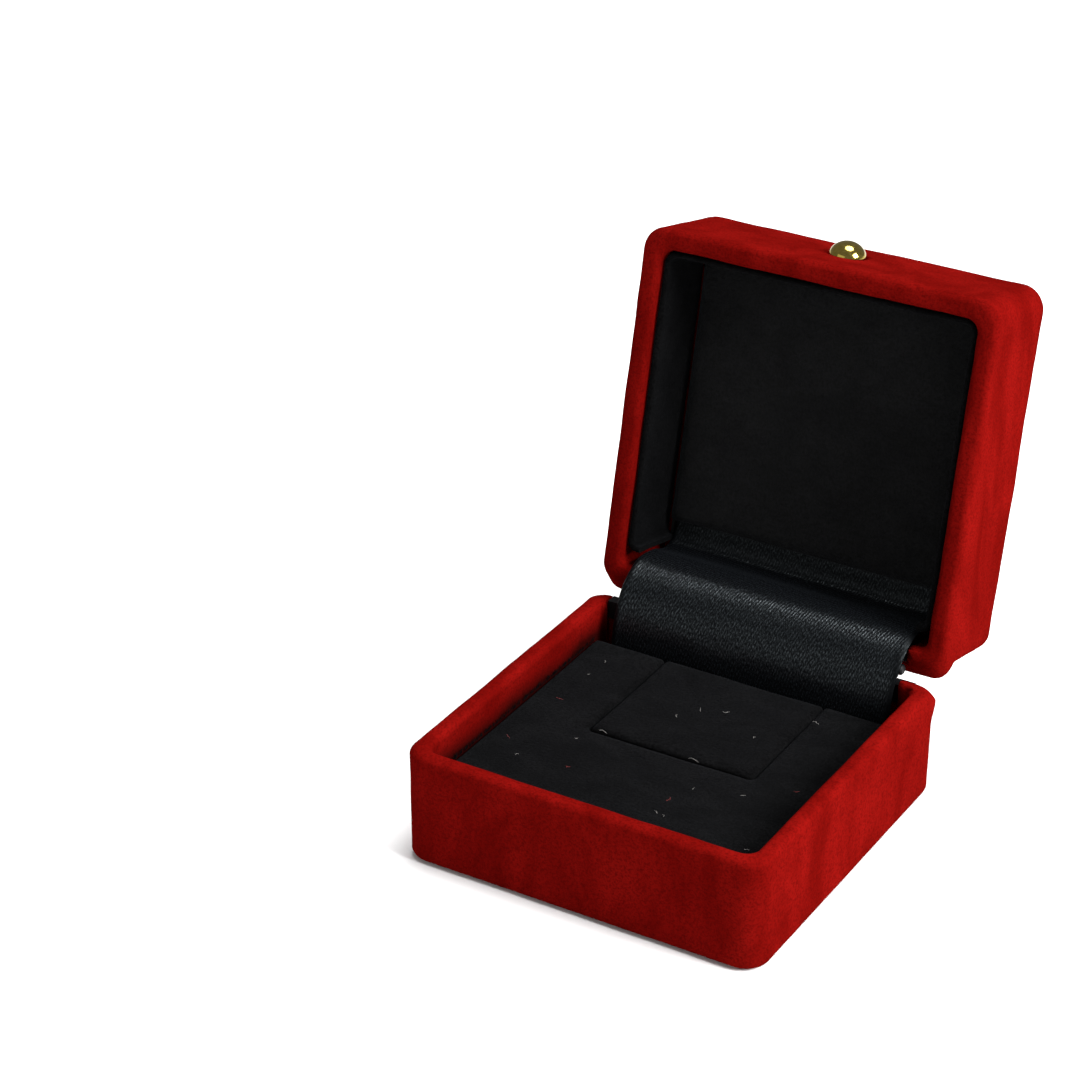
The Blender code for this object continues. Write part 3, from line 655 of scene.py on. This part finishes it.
def base_loops():
    """Skin of the base from its foot, over the rim, to the floor inside."""
    loops = []
    for rise, inset_share in quarter_turn():
        inset = FOOT_ROUND * (1 - rise)
        z = FOOT_ROUND * inset_share
        loops.append(inset_loop(inset, corner_radius(inset, BASE_WALL), z))
    distances = ridge_distances()
    plain_top = RIM_Z - distances[-1]
    for z in between(FOOT_ROUND, plain_top, 0.0012):
        loops.append(inset_loop(0, OUTER_CORNER, z))
    for distance in reversed(distances):
        z = RIM_Z - distance
        loops.append(rounded_loop(HALF_WIDTH, -HALF_DEPTH, ridge_y(distance), OUTER_CORNER, z))
    loops += rim_loops(HALF_WIDTH, -HALF_DEPTH, BASE_WALL, BASE_RIM_ROUND, RIM_Z, -1)
    floor_round = 0.0008
    inner_top = RIM_Z - BASE_RIM_ROUND
    inner_bottom = BASE_FLOOR + floor_round
    heights = between(inner_top, inner_bottom, 0.0015) + [inner_bottom]
    rings = [(BASE_WALL, z) for z in heights] + [(BASE_WALL + floor_round, BASE_FLOOR)]
    for inset, z in rings:
        loops.append(inset_loop(inset, INNER_CORNER, z))
    return loops


def lid_loops():
    """Skin of the lid from the floor of the plate's well, over the top and rim, to the ceiling."""
    frame_half_x = HALF_WIDTH - LID_FRAME_WIDTH
    frame_y = HALF_DEPTH - LID_FRAME_WIDTH
    well_floor = LID_TOP_Z - PLATE_WELL
    loops = []
    for z in (well_floor, well_floor + 0.0009, LID_TOP_Z - LID_FRAME_ROUND - 0.0005):
        loops.append(rounded_loop(frame_half_x, -frame_y, frame_y, WELL_CORNER, z))
    for rise, spread in quarter_turn():
        out = LID_FRAME_ROUND * spread
        z = LID_TOP_Z - LID_FRAME_ROUND * (1 - rise)
        loops.append(rounded_loop(frame_half_x + out, -frame_y - out, frame_y + out, WELL_CORNER + out, z))
    for rise, drop in reversed(quarter_turn()):
        inset = LID_TOP_ROUND * drop
        z = LID_TOP_Z - LID_TOP_ROUND * (1 - rise)
        loops.append(inset_loop(inset, OUTER_CORNER - inset * 0.5, z))
    distances = ridge_distances()
    height = LID_TOP_Z - LID_RIM_Z
    plain = between(height - LID_TOP_ROUND, distances[-1], 0.0012)
    for distance in plain + distances[::-1]:
        flare = LID_FLARE * (1 - distance / height)
        z = LID_RIM_Z + distance
        rear = ridge_y(distance)
        loops.append(rounded_loop(HALF_WIDTH + flare, -HALF_DEPTH - flare, rear, OUTER_CORNER, z))
    half_x = HALF_WIDTH + LID_FLARE
    front = -HALF_DEPTH - LID_FLARE
    loops += rim_loops(half_x, front, LID_WALL, LID_RIM_ROUND, LID_RIM_Z, 1)
    ceiling = well_floor - LID_CEILING
    inner_x = half_x - LID_WALL
    inner_front = front + LID_WALL
    for z in between(LID_RIM_Z + LID_RIM_ROUND, ceiling, 0.0015) + [ceiling]:
        loops.append(rounded_loop(inner_x, inner_front, HALF_DEPTH - LID_WALL, INNER_CORNER, z))
    return loops


def make_base(flock):
    """Flocked tray with a pocket and a notch for the hinge's lower leaf."""
    shell = new_object("base_flock", loft(base_loops()), flock)
    rear_wall = HALF_DEPTH - BASE_WALL
    above = RIM_Z + 0.001
    pocket = block(
        (-BASE_CUT_LEFT, rear_wall - 0.0005, RIM_Z - POCKET_HEIGHT),
        (BASE_CUT_RIGHT, rear_wall + LEAF_POCKET, above),
    )
    notch = block(
        (-BASE_CUT_LEFT, rear_wall - 0.0004, BASE_NOTCH_Z),
        (BASE_CUT_RIGHT, HALF_DEPTH + PAST_SHELL, above),
    )
    cut(shell, [pocket, notch])
    cover_leaf_end(shell, rear_wall)
    soften(shell, seed=1, amount=0.00011, size=0.008, weight=lambda point: min(1.0, point.z / 0.002))
    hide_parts("base_shell")
    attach(shell, "root")


def cover_leaf_end(shell, rear_wall):
    """Fuller flock on the rear rim, over the end of the hinge leaf beside the right of the notch."""
    for vertex in shell.data.vertices:
        place = vertex.co
        beside_notch = BASE_CUT_RIGHT - 0.0001 < place.x < BASE_CUT_LEFT + 0.0004
        on_inner_rim = rear_wall - 0.0001 < place.y < rear_wall + 0.0012 and place.z > RIM_Z - 0.0016
        if beside_notch and on_inner_rim:
            place += Vector((0, -LEAF_COVER, LEAF_COVER))


def make_lid(flock):
    """Flocked lid with a pocket and a notch for the upper leaf and a seat for the stud."""
    shell = new_object("lid_flock", loft(lid_loops()), flock)
    rear_wall = HALF_DEPTH - LID_WALL
    below = LID_RIM_Z - 0.001
    pocket = block(
        (-LID_CUT_HALF_WIDTH, rear_wall - 0.0005, below),
        (LID_CUT_HALF_WIDTH, rear_wall + LEAF_POCKET, LID_RIM_Z + POCKET_HEIGHT),
    )
    notch = block(
        (-LID_CUT_HALF_WIDTH, rear_wall - 0.0004, below),
        (LID_CUT_HALF_WIDTH, HALF_DEPTH + PAST_SHELL, LID_NOTCH_Z),
    )
    seat_radius = stud_radius() + 0.0002
    seat_depth = PAST_SHELL + STUD_SEAT
    seat = [(0, 0), (seat_radius, 0), (seat_radius, seat_depth), (0, seat_depth)]
    outside = stud_centre() - Vector((0, PAST_SHELL, 0))
    cut(shell, [pocket, notch, turned(seat, outside, (0, 1, 0))])
    soften(shell, seed=4, amount=0.00012, size=0.008, weight=away_from_well)
    open_up(shell)
    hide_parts("lid_shell")
    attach(shell, "lid")


def away_from_well(point):
    """1 on the lid's skin, 0 in the well that holds the plate."""
    in_well = abs(point.x) < PLATE_HIGH.x + 0.0006 and abs(point.y) < PLATE_HIGH.y + 0.0006
    return 0.0 if in_well and point.z > LID_TOP_Z - PLATE_WELL - 0.0001 else 1.0


# -------------------- pads

SIM_SCALE = 10.0                # cloth is simulated at ten times its size
SIM_VOXEL = 0.0049
SIM_PRESSURE = 4.0
SIM_FRAMES = 20


def rounded_corners(corners, steps=6):
    """Outline with right-angled corners given as (x, y, radius), each drawn as an arc."""
    outline = []
    for index, (x, y, radius) in enumerate(corners):
        if radius == 0:
            outline.append((x, y))
            continue
        corner = Vector((x, y))
        before = (Vector(corners[index - 1][:2]) - corner).normalized()
        after = (Vector(corners[(index + 1) % len(corners)][:2]) - corner).normalized()
        for step in range(steps + 1):
            angle = math.pi / 2 * step / steps
            offset = before * (1 - math.sin(angle)) + after * (1 - math.cos(angle))
            outline.append(tuple(corner + radius * offset))
    return outline


def prism(outline, low, high):
    """Upright slab between two heights."""
    return loft([[(x, y, z) for x, y in outline] for z in (low, high)])


def padded_piece(name, outline, low, high, material, swell):
    """Fabric over padding: remesh a flat pad, blow it up as cloth and cap how far it swells."""
    obj = new_object(name, prism(outline, low, high), material)
    obj.data.transform(Matrix.Scale(SIM_SCALE, 4))
    remesh = obj.modifiers.new("remesh", "REMESH")
    remesh.mode = "VOXEL"
    remesh.voxel_size = SIM_VOXEL
    bake_modifiers(obj)
    start = [vertex.co.copy() for vertex in obj.data.vertices]
    blow_up(obj)
    cap = swell * SIM_SCALE
    floor = low * SIM_SCALE
    for vertex, rest in zip(obj.data.vertices, start):
        move = vertex.co - rest
        if move.length > cap:
            move *= cap / move.length
        vertex.co = rest + move
        vertex.co.z = max(vertex.co.z, floor)
    smooth = obj.modifiers.new("smooth", "SMOOTH")
    smooth.factor = 0.5
    smooth.iterations = 1
    bake_modifiers(obj)
    obj.data.transform(Matrix.Scale(1 / SIM_SCALE, 4))
    finer = obj.modifiers.new("finer", "SUBSURF")
    finer.levels = 1
    finer.render_levels = 1
    bake_modifiers(obj)
    obj.data.shade_smooth()
    obj.data.materials.clear()
    obj.data.materials.append(material)
    return obj


def blow_up(obj):
    """Run cloth with pressure and no gravity, and keep its last frame."""
    cloth = obj.modifiers.new("cloth", "CLOTH")
    cloth.settings.quality = 4
    cloth.settings.use_pressure = True
    cloth.settings.uniform_pressure_force = SIM_PRESSURE
    cloth.settings.effector_weights.gravity = 0
    cloth.collision_settings.use_collision = False
    cloth.point_cache.frame_start = 1
    cloth.point_cache.frame_end = SIM_FRAMES
    scene = bpy.context.scene
    for number in range(1, SIM_FRAMES + 1):
        scene.frame_set(number)
    bake_modifiers(obj)
    scene.frame_set(1)


def make_insert(velvet):
    """Velvet surround in the base; the slit round the flap is open on three sides."""
    half_x = PAD_HIGH.x + PAD_OVERREACH
    front = PAD_LOW.y - PAD_OVERREACH
    slit_x = FLAP_HIGH.x + SLIT
    slit_y = FLAP_LOW.y - SLIT
    outline = rounded_corners([
        (-half_x, front, INNER_CORNER),
        (half_x, front, INNER_CORNER),
        (half_x, PAD_HIGH.y, 0),
        (slit_x, PAD_HIGH.y, 0),
        (slit_x, slit_y, 0),
        (-slit_x, slit_y, 0),
        (-slit_x, PAD_HIGH.y, 0),
        (-half_x, PAD_HIGH.y, 0),
    ])
    pad = padded_piece("insert_velvet", outline, PAD_LOW.z, PAD_HIGH.z - 0.0001, velvet, swell=0.00022)
    soften(pad, seed=7, amount=0.00012, size=0.014)
    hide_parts("insert_pad")
    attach(pad, "root")


def make_flap(velvet):
    """The tongue that a ring presses down."""
    half_x = FLAP_HIGH.x + FLAP_OVERREACH
    front = FLAP_LOW.y - FLAP_OVERREACH
    outline = rounded_corners([
        (-half_x, front, 0.0006),
        (half_x, front, 0.0006),
        (half_x, FLAP_HIGH.y, 0),
        (-half_x, FLAP_HIGH.y, 0),
    ])
    flap = padded_piece("flap_velvet", outline, FLAP_LOW.z, FLAP_HIGH.z - 0.0001, velvet, swell=0.00020)
    soften(flap, seed=9, amount=0.00012, size=0.012)
    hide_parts("flap_pad")
    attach(flap, "flap")


def make_lid_cushion(velvet):
    """Padded panel in the bottom of the lid."""
    low_x, high_x = LINER_LOW.x - PAD_OVERREACH, LINER_HIGH.x + PAD_OVERREACH
    front, rear = LINER_LOW.y - PAD_OVERREACH, LINER_HIGH.y + CUSHION_OVERLAP
    outline = rounded_corners([
        (low_x, front, INNER_CORNER),
        (high_x, front, INNER_CORNER),
        (high_x, rear, CUSHION_REAR_CORNER),
        (low_x, rear, CUSHION_REAR_CORNER),
    ])
    depth = LINER_HIGH.z - LINER_LOW.z
    cushion = padded_piece("lid_cushion", outline, 0, depth, velvet, swell=0.0007)
    upside_down = Matrix.Translation((0, 0, LINER_HIGH.z)) @ Matrix.Scale(-1, 4, (0, 0, 1))
    cushion.data.transform(upside_down)
    cushion.data.flip_normals()
    open_up(cushion)
    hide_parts("lid_liner_pad")
    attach(cushion, "lid")


# -------------------- lining of the lid

def make_lining(velvet):
    """Velvet-covered wall round the inside of the lid, with a rolled edge near the rim."""
    section = lining_section(LINING_LOW.z, LINING_HIGH.z, LINING_THICKNESS / 2)
    rings = []
    for point, across in lining_path(LINING_THICKNESS / 2):
        rings.append([(point.x + across.x * offset, point.y + across.y * offset, z) for offset, z in section])
    lining = new_object("lid_lining", loft(rings), velvet)
    soften(lining, seed=15, amount=0.00010, size=0.009, weight=lining_looseness)
    open_up(lining)
    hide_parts("lid_lining_wall")
    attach(lining, "lid")


def lining_looseness(point):
    """The lining's free edge wanders more than the part glued behind the panel."""
    height = (point.z - LINING_LOW.z) / (LINING_HIGH.z - LINING_LOW.z)
    return 1.0 - 0.7 * height


def lining_path(half_thickness):
    """Middle line of the lining in plan, with the direction across it, from one rear end to the other."""
    low_x, high_x = LINING_LOW.x + half_thickness, LINING_HIGH.x - half_thickness
    front, rear = LINING_LOW.y + half_thickness, LINING_HIGH.y - half_thickness
    corner = INNER_CORNER - half_thickness
    outline = rounded_corners([
        (low_x + LINING_TURN_IN, rear, 0),
        (low_x, rear, LINING_REAR_CORNER),
        (low_x, front, corner),
        (high_x, front, corner),
        (high_x, rear, LINING_REAR_CORNER),
        (high_x - LINING_TURN_IN, rear, 0),
    ], steps=10)
    points = [Vector((x, y, 0)) for x, y in outline]
    dense = [points[0]]
    for start, finish in zip(points, points[1:]):
        steps = max(1, round((finish - start).length / 0.001))
        dense += [start.lerp(finish, step / steps) for step in range(1, steps + 1)]
    path = []
    for index, point in enumerate(dense):
        along = heading(dense, index)
        path.append((point, Vector((-along.y, along.x, 0))))
    return path


def lining_section(low, high, half_thickness):
    """Cross-section of the lining as (offset, z): a flat strip with a rounded, fuller free edge."""
    roll = LINING_ROLL
    section = []
    for step in range(9):
        angle = math.pi * step / 8
        section.append((roll * math.cos(angle), low + roll - roll * math.sin(angle)))
    inner = [low + roll + (high - low - roll) * step / 10 for step in range(1, 11)]
    section += [(-half_thickness, z) for z in inner]
    section += [(half_thickness, z) for z in reversed(inner)]
    return section


# -------------------- satin strap

def smooth_route(points, steps):
    """A smooth line through the points, level with its neighbours' directions at each."""
    padded = [points[0]] + list(points) + [points[-1]]
    route = []
    for before, start, finish, after in zip(padded, padded[1:], padded[2:], padded[3:]):
        for step in range(steps):
            t = step / steps
            place = []
            for a, b, c, d in zip(before, start, finish, after):
                curve = (-a + 3 * b - 3 * c + d) * t**3 + (2 * a - 5 * b + 4 * c - d) * t**2
                place.append(0.5 * (curve + (c - a) * t + 2 * b))
            route.append(Vector(place))
    route.append(Vector(points[-1]))
    return route


def strap_columns():
    """X of the points across the strap, closer together towards its edges."""
    columns = []
    for step in range(STRAP_COLUMNS + 1):
        share = 2 * step / STRAP_COLUMNS - 1
        crowded = math.sin(share * math.pi / 2)
        columns.append(STRAP_HALF_WIDTH * crowded * 0.35 + STRAP_HALF_WIDTH * share * 0.65)
    return columns


def strap_half_thickness(x):
    """Fuller over the turned hems and rounded off at the very edge."""
    from_edge = STRAP_HALF_WIDTH - abs(x)
    hem = HEM_EXTRA if from_edge < HEM_WIDTH else 0.0
    edge = min(1.0, from_edge / HEM_ROUND)
    return (STRAP_THICKNESS / 2 + hem) * math.sqrt(max(0.0, 1 - (1 - edge) ** 2))


def strap_rows(bm, route):
    """Rows of points for the strap's front and back, each with its place in the weave."""
    weave = bm.verts.layers.float_vector.new("weave")
    front, back = [], []
    travelled = 0.0
    for index, place in enumerate(route):
        if index:
            travelled += (place - route[index - 1]).length
        along = heading(route, index)
        off = Vector((-along.y, along.x))
        for side, rows in ((1, front), (-1, back)):
            row = []
            for x in strap_columns():
                shift = side * strap_half_thickness(x) + strap_ripple(x, travelled)
                vertex = bm.verts.new((x, place.x + off.x * shift, place.y + off.y * shift))
                vertex[weave] = (x, travelled, 0.0)
                row.append(vertex)
            rows.append(row)
    return front, back


def make_strap(satin):
    """Satin strap from behind the insert, over the hinge and down into the lid, with turned hems."""
    route = smooth_route(STRAP_ROUTE, 12)
    bm = bmesh.new()
    front, back = strap_rows(bm, route)
    left = [[row[0] for row in rows] for rows in (front, back)]
    right = [[row[-1] for row in rows] for rows in (front, back)]
    for rows in (front, back, (front[0], back[0]), (front[-1], back[-1]), left, right):
        for near, far in zip(rows, rows[1:]):
            for i in range(len(near) - 1):
                bm.faces.new((near[i], near[i + 1], far[i + 1], far[i]))
    bmesh.ops.remove_doubles(bm, verts=bm.verts, dist=1e-7)
    strap = new_object("satin_strap", bm, satin, sharp_degrees=80)
    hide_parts("hinge_strap")
    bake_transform(strap)


def strap_ripple(x, travelled):
    """Slack across the strap: long soft folds along X and finer ripples."""
    place = Vector((x * 0.35, travelled, 0))
    return 0.00016 * unevenness(place, 21, 0.006) + 0.00005 * unevenness(place, 23, 0.0022)


# -------------------- plate and ornament

def plate_outline(inset, radius, z):
    """Outline of the plate, drawn in by the same amount on every side."""
    return rounded_loop(PLATE_HIGH.x - inset, -PLATE_HIGH.y + inset, PLATE_HIGH.y - inset, radius, z)


def make_plate(foil, stamped):
    """Gold foil plate in the lid, with stamped lines: a double border and a rosette."""
    top = PLATE_HIGH.z
    edge = PLATE_EDGE
    rings = [(0, PLATE_LOW.z), (0, top - edge), (edge * 0.3, top - edge * 0.3), (edge, top)]
    loops = [plate_outline(inset, PLATE_CORNER, z) for inset, z in rings]
    plate = new_object("foil_plate", loft(loops), foil, sharp_degrees=35)
    open_up(plate)
    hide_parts("gold_plate")
    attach(plate, "lid")
    lines = [tube(points, STAMPED_LINE, sides=8) for points in ornament_lines(top)]
    ornament = joined("stamped_lines", lines, stamped)
    open_up(ornament)
    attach(ornament, "lid")


def ornament_lines(z):
    """Lines of a generic ornament: borders, a petal rosette and corner scrolls."""
    lines = []
    for inset in (0.0026, 0.0036):
        loop = plate_outline(inset, 0.003, z)
        lines.append(loop + loop[:2])
    petals = 8
    for index in range(petals):
        angle = math.tau * index / petals
        lines.append(petal(angle, 0.0026, 0.0115, 0.0030, z))
    for radius in (0.0020, 0.0130):
        angles = [step * math.tau / CIRCLE_STEPS for step in range(CIRCLE_STEPS + 2)]
        lines.append([Vector((radius * math.cos(angle), radius * math.sin(angle), z)) for angle in angles])
    for sign_x in (-1, 1):
        for sign_y in (-1, 1):
            lines.append(scroll(sign_x, sign_y, z))
    return lines


def petal(angle, start, end, width, z):
    """Closed leaf shape pointing away from the middle."""
    points = []
    steps = 20
    direction = Vector((math.cos(angle), math.sin(angle), 0))
    side = Vector((-math.sin(angle), math.cos(angle), 0))
    for sign, order in ((1, range(steps + 1)), (-1, range(steps - 1, 0, -1))):
        for step in order:
            t = step / steps
            reach = start + (end - start) * t
            points.append(direction * reach + side * sign * width * math.sin(math.pi * t) * 0.75)
    points.append(points[0].copy())
    for point in points:
        point.z = z
    return points


def scroll(sign_x, sign_y, z):
    """Spiral in a corner of the plate."""
    points = []
    centre = Vector((sign_x * 0.0185, sign_y * 0.0185, z))
    for step in range(60):
        t = step / 59
        angle = math.tau * 1.4 * t
        radius = 0.0030 * (1 - 0.75 * t)
        x = sign_x * radius * math.cos(angle)
        y = sign_y * radius * math.sin(angle)
        points.append(centre + Vector((x, y, 0)))
    return points


# -------------------- stud

def stud_radius():
    return (STUD_HIGH.x - STUD_LOW.x) / 2


def stud_centre():
    """Middle of the stud's foot, on the front of the shut lid."""
    middle = (STUD_LOW + STUD_HIGH) / 2
    return Vector((middle.x, -HALF_DEPTH, middle.z))


def make_stud(brass):
    """Polished dome with a fine rolled edge, pressed into its seat."""
    radius = stud_radius()
    height = -HALF_DEPTH - STUD_LOW.y
    sunk = 0.0002
    profile = [(0, height)]
    steps = 24
    for step in range(1, steps + 1):
        angle = math.pi / 2 * step / steps
        profile.append((radius * math.sin(angle), (height + sunk) * math.cos(angle) - sunk))
    profile += [(radius * 0.985, -sunk - 0.00010), (radius * 0.92, -sunk - 0.00014), (0, -sunk - 0.00014)]
    dome = new_object("brass_dome", turned(profile, stud_centre(), (0, -1, 0)), brass)
    open_up(dome)
    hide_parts("dome_stud")
    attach(dome, "lid")


# -------------------- lint

FRINGE_COUNT = 700
LINT_RADIUS = 0.000013
LINT_LIFT = 0.00022             # above the bare pad, which puts it on the swollen velvet
FRAYS = [                       # start x, start y and length of each thread end
    (-0.0122, -0.0016, 0.0016),
    (0.0034, -0.0016, 0.0018),
    (0.0147, 0.0175, 0.0012),
]


def fibre(rng, place, length):
    """A short curled thread lying on the surface."""
    bearing = rng.uniform(0, math.tau)
    curl = rng.uniform(-2.5, 2.5)
    points = [place.copy()]
    steps = 7
    for step in range(steps):
        bearing += curl / steps
        points.append(points[-1] + Vector((math.cos(bearing), math.sin(bearing), 0)) * length / steps)
    return tube(points, LINT_RADIUS, sides=5, taper=0.5)


def fray(rng, start, length):
    """A pulled thread end lying along the slit, slightly lifted."""
    points = []
    for step in range(9):
        share = step / 8
        lift = 0.00025 * math.sin(math.pi * share)
        drift = 0.00012 * math.sin(5 * share + rng.uniform(0, 1))
        points.append(start + Vector((length * share, drift, lift)))
    return tube(points, 0.000016, sides=5, taper=0.4)


def make_fringe(velvet):
    """Black pile standing up where the insert meets the base's side walls."""
    rng = random.Random(5)
    parts = []
    edge = HALF_WIDTH - BASE_WALL
    for _ in range(FRINGE_COUNT):
        side = rng.choice((-1, 1))
        y = rng.uniform(PAD_LOW.y + 0.002, PAD_HIGH.y - 0.001)
        foot = Vector((side * (edge - 0.0002), y, PAD_HIGH.z - 0.0003))
        height = rng.uniform(0.0004, 0.0012)
        lean = Vector((rng.uniform(-0.1, 0.1), rng.uniform(-0.5, 0.5), 1.0))
        bend = Vector((-side * 0.15, rng.uniform(-0.3, 0.3), 0))
        points = [foot + (lean * share + bend * share * share) * height for share in (0, 0.35, 0.7, 1)]
        parts.append(tube(points, 0.00005, sides=4, taper=0.3))
    fringe = joined("pile_fringe", parts, velvet)
    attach(fringe, "root")


def scattered(rng, low, high, count, longest, beside_flap):
    """Fibres lying at random on a pad, clear of its edges and, on the insert, of the flap."""
    fibres = []
    while len(fibres) < count:
        x = rng.uniform(low.x + 0.002, high.x - 0.002)
        y = rng.uniform(low.y + 0.002, high.y - 0.003)
        length = rng.uniform(0.0004, longest)
        if beside_flap and abs(x) < FLAP_HIGH.x + 0.001 and y > FLAP_LOW.y - 0.001:
            continue
        fibres.append(fibre(rng, Vector((x, y, high.z + LINT_LIFT)), length))
    return fibres


def make_lint(pale, red):
    """Loose fibres on the insert and the flap, and the thread ends along the slit."""
    rng = random.Random(12)
    pale_lint = scattered(rng, PAD_LOW, PAD_HIGH, 12, 0.0013, beside_flap=True)
    pale_lint += [fray(rng, Vector((x, y, PAD_HIGH.z + 0.0002)), length) for x, y, length in FRAYS]
    red_lint = scattered(rng, PAD_LOW, PAD_HIGH, 5, 0.0013, beside_flap=True)
    flap_lint = scattered(rng, FLAP_LOW, FLAP_HIGH, 4, 0.0012, beside_flap=False)
    for name, parts, material, body in (
        ("lint_pale", pale_lint, pale, "root"),
        ("lint_red", red_lint, red, "root"),
        ("lint_flap", flap_lint, pale, "flap"),
    ):
        lint = joined(name, parts, material)
        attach(lint, body)


# -------------------- hidden CAD pieces

def finish_cad_nodes(steel, card, black_card, foam):
    """Better materials for the nodes that keep their CAD shapes."""
    looks = {
        "hinge": steel,
        "insert_board": black_card,
        "flap_board": black_card,
        "lid_liner_board": black_card,
        "plate_backing": card,
        "insert_foam": foam,
    }
    for name, node in frame["nodes"].items():
        for start, material in looks.items():
            if name.startswith(start):
                node.data.materials.clear()
                node.data.materials.append(material)


# -------------------- stage

def make_stage():
    """Plain pale floor, a hair below the box's underside."""
    look = Look("pale_floor", (0.86, 0.86, 0.86), 0.9)
    tone = look.grain(look.place(), 4, detail=1)
    look.set("Base Color", look.mix(tone, (0.85, 0.85, 0.85), (0.87, 0.87, 0.87)))
    bm = bmesh.new()
    bmesh.ops.create_grid(bm, x_segments=1, y_segments=1, size=3.0)
    floor = new_object("floor", bm, look.material)
    floor.location.z = -0.00002


def add_light(name, kind, power, direction):
    """A light that shines along a direction."""
    light = bpy.data.lights.new(name, kind)
    light.energy = power
    obj = add_object(name, light)
    obj.rotation_euler = Vector(direction).to_track_quat("-Z", "Y").to_euler()
    return obj


def area_light(name, place, size, power):
    """A rectangular light that faces the middle of the box."""
    middle = (cad_low + cad_high) / 2
    obj = add_light(name, "AREA", power, middle - Vector(place))
    obj.location = place
    obj.data.shape = "RECTANGLE"
    obj.data.size, obj.data.size_y = size


def make_lights():
    """Key from the right, a broad sun overhead, a weak fill in front and a pale studio round it."""
    area_light("key", (0.50, 0.02, 0.36), (0.26, 0.26), 7.5)
    overhead = add_light("top", "SUN", 4.0, (-0.06, -0.10, -0.56))
    overhead.data.angle = math.radians(36)
    area_light("front", (-0.20, -0.60, 0.30), (0.60, 0.40), 0.60)
    world = bpy.data.worlds.new("studio")
    bpy.context.scene.world = world
    world.use_nodes = True
    background = world.node_tree.nodes["Background"]
    background.inputs["Color"].default_value = (1.0, 1.0, 1.0, 1.0)
    background.inputs["Strength"].default_value = 0.27


def make_camera():
    """Camera fitted to the corners of the open box in the photograph."""
    camera = bpy.data.cameras.new("camera")
    camera.sensor_width = 36.0
    camera.lens = 105.54
    camera.clip_start = 0.01
    obj = add_object("camera", camera)
    obj.location = (0.19353, -0.36090, 0.26740)
    obj.rotation_euler = (math.radians(61.91), 0.0, math.radians(31.035))
    bpy.context.scene.camera = obj
    bpy.context.scene.view_settings.view_transform = "Standard"


# -------------------- everything

make_camera()
make_lights()
make_stage()
insert_velvet = velvet_material("black_velvet", (0.0018, 0.0018, 0.0019), 0.014)
lining_velvet = velvet_material("lining_velvet", (0.0020, 0.0020, 0.0021), 0.015)
# the cushion's velvet is a lighter copy of the black velvet: painted light for a cushion that faces the front
# and gets little lamplight
lid_velvet_painted_lighter = velvet_material("lid_velvet_painted_lighter", (0.0075, 0.0076, 0.0078), 0.05, pile_contrast=0.6, rubbing=1.35)
make_base(flock_material("red_flock", pile_and_painted_shade_inside=True))
make_lid(flock_material("lid_flock"))
make_lining(lining_velvet)
make_insert(insert_velvet)
make_flap(insert_velvet)
make_lid_cushion(lid_velvet_painted_lighter)
make_strap(satin_material())
make_plate(foil_material(), ornament_material())
make_stud(brass_material())
make_fringe(insert_velvet)
make_lint(lint_material("lint_pale", (0.42, 0.40, 0.38)), lint_material("lint_red", (0.35, 0.02, 0.02)))
finish_cad_nodes(
    steel_material(),
    card_material("grey_card", (0.19, 0.175, 0.15), (0.31, 0.29, 0.25)),
    card_material("black_card", (0.004, 0.004, 0.004), (0.008, 0.008, 0.008)),
    foam_material(),
)
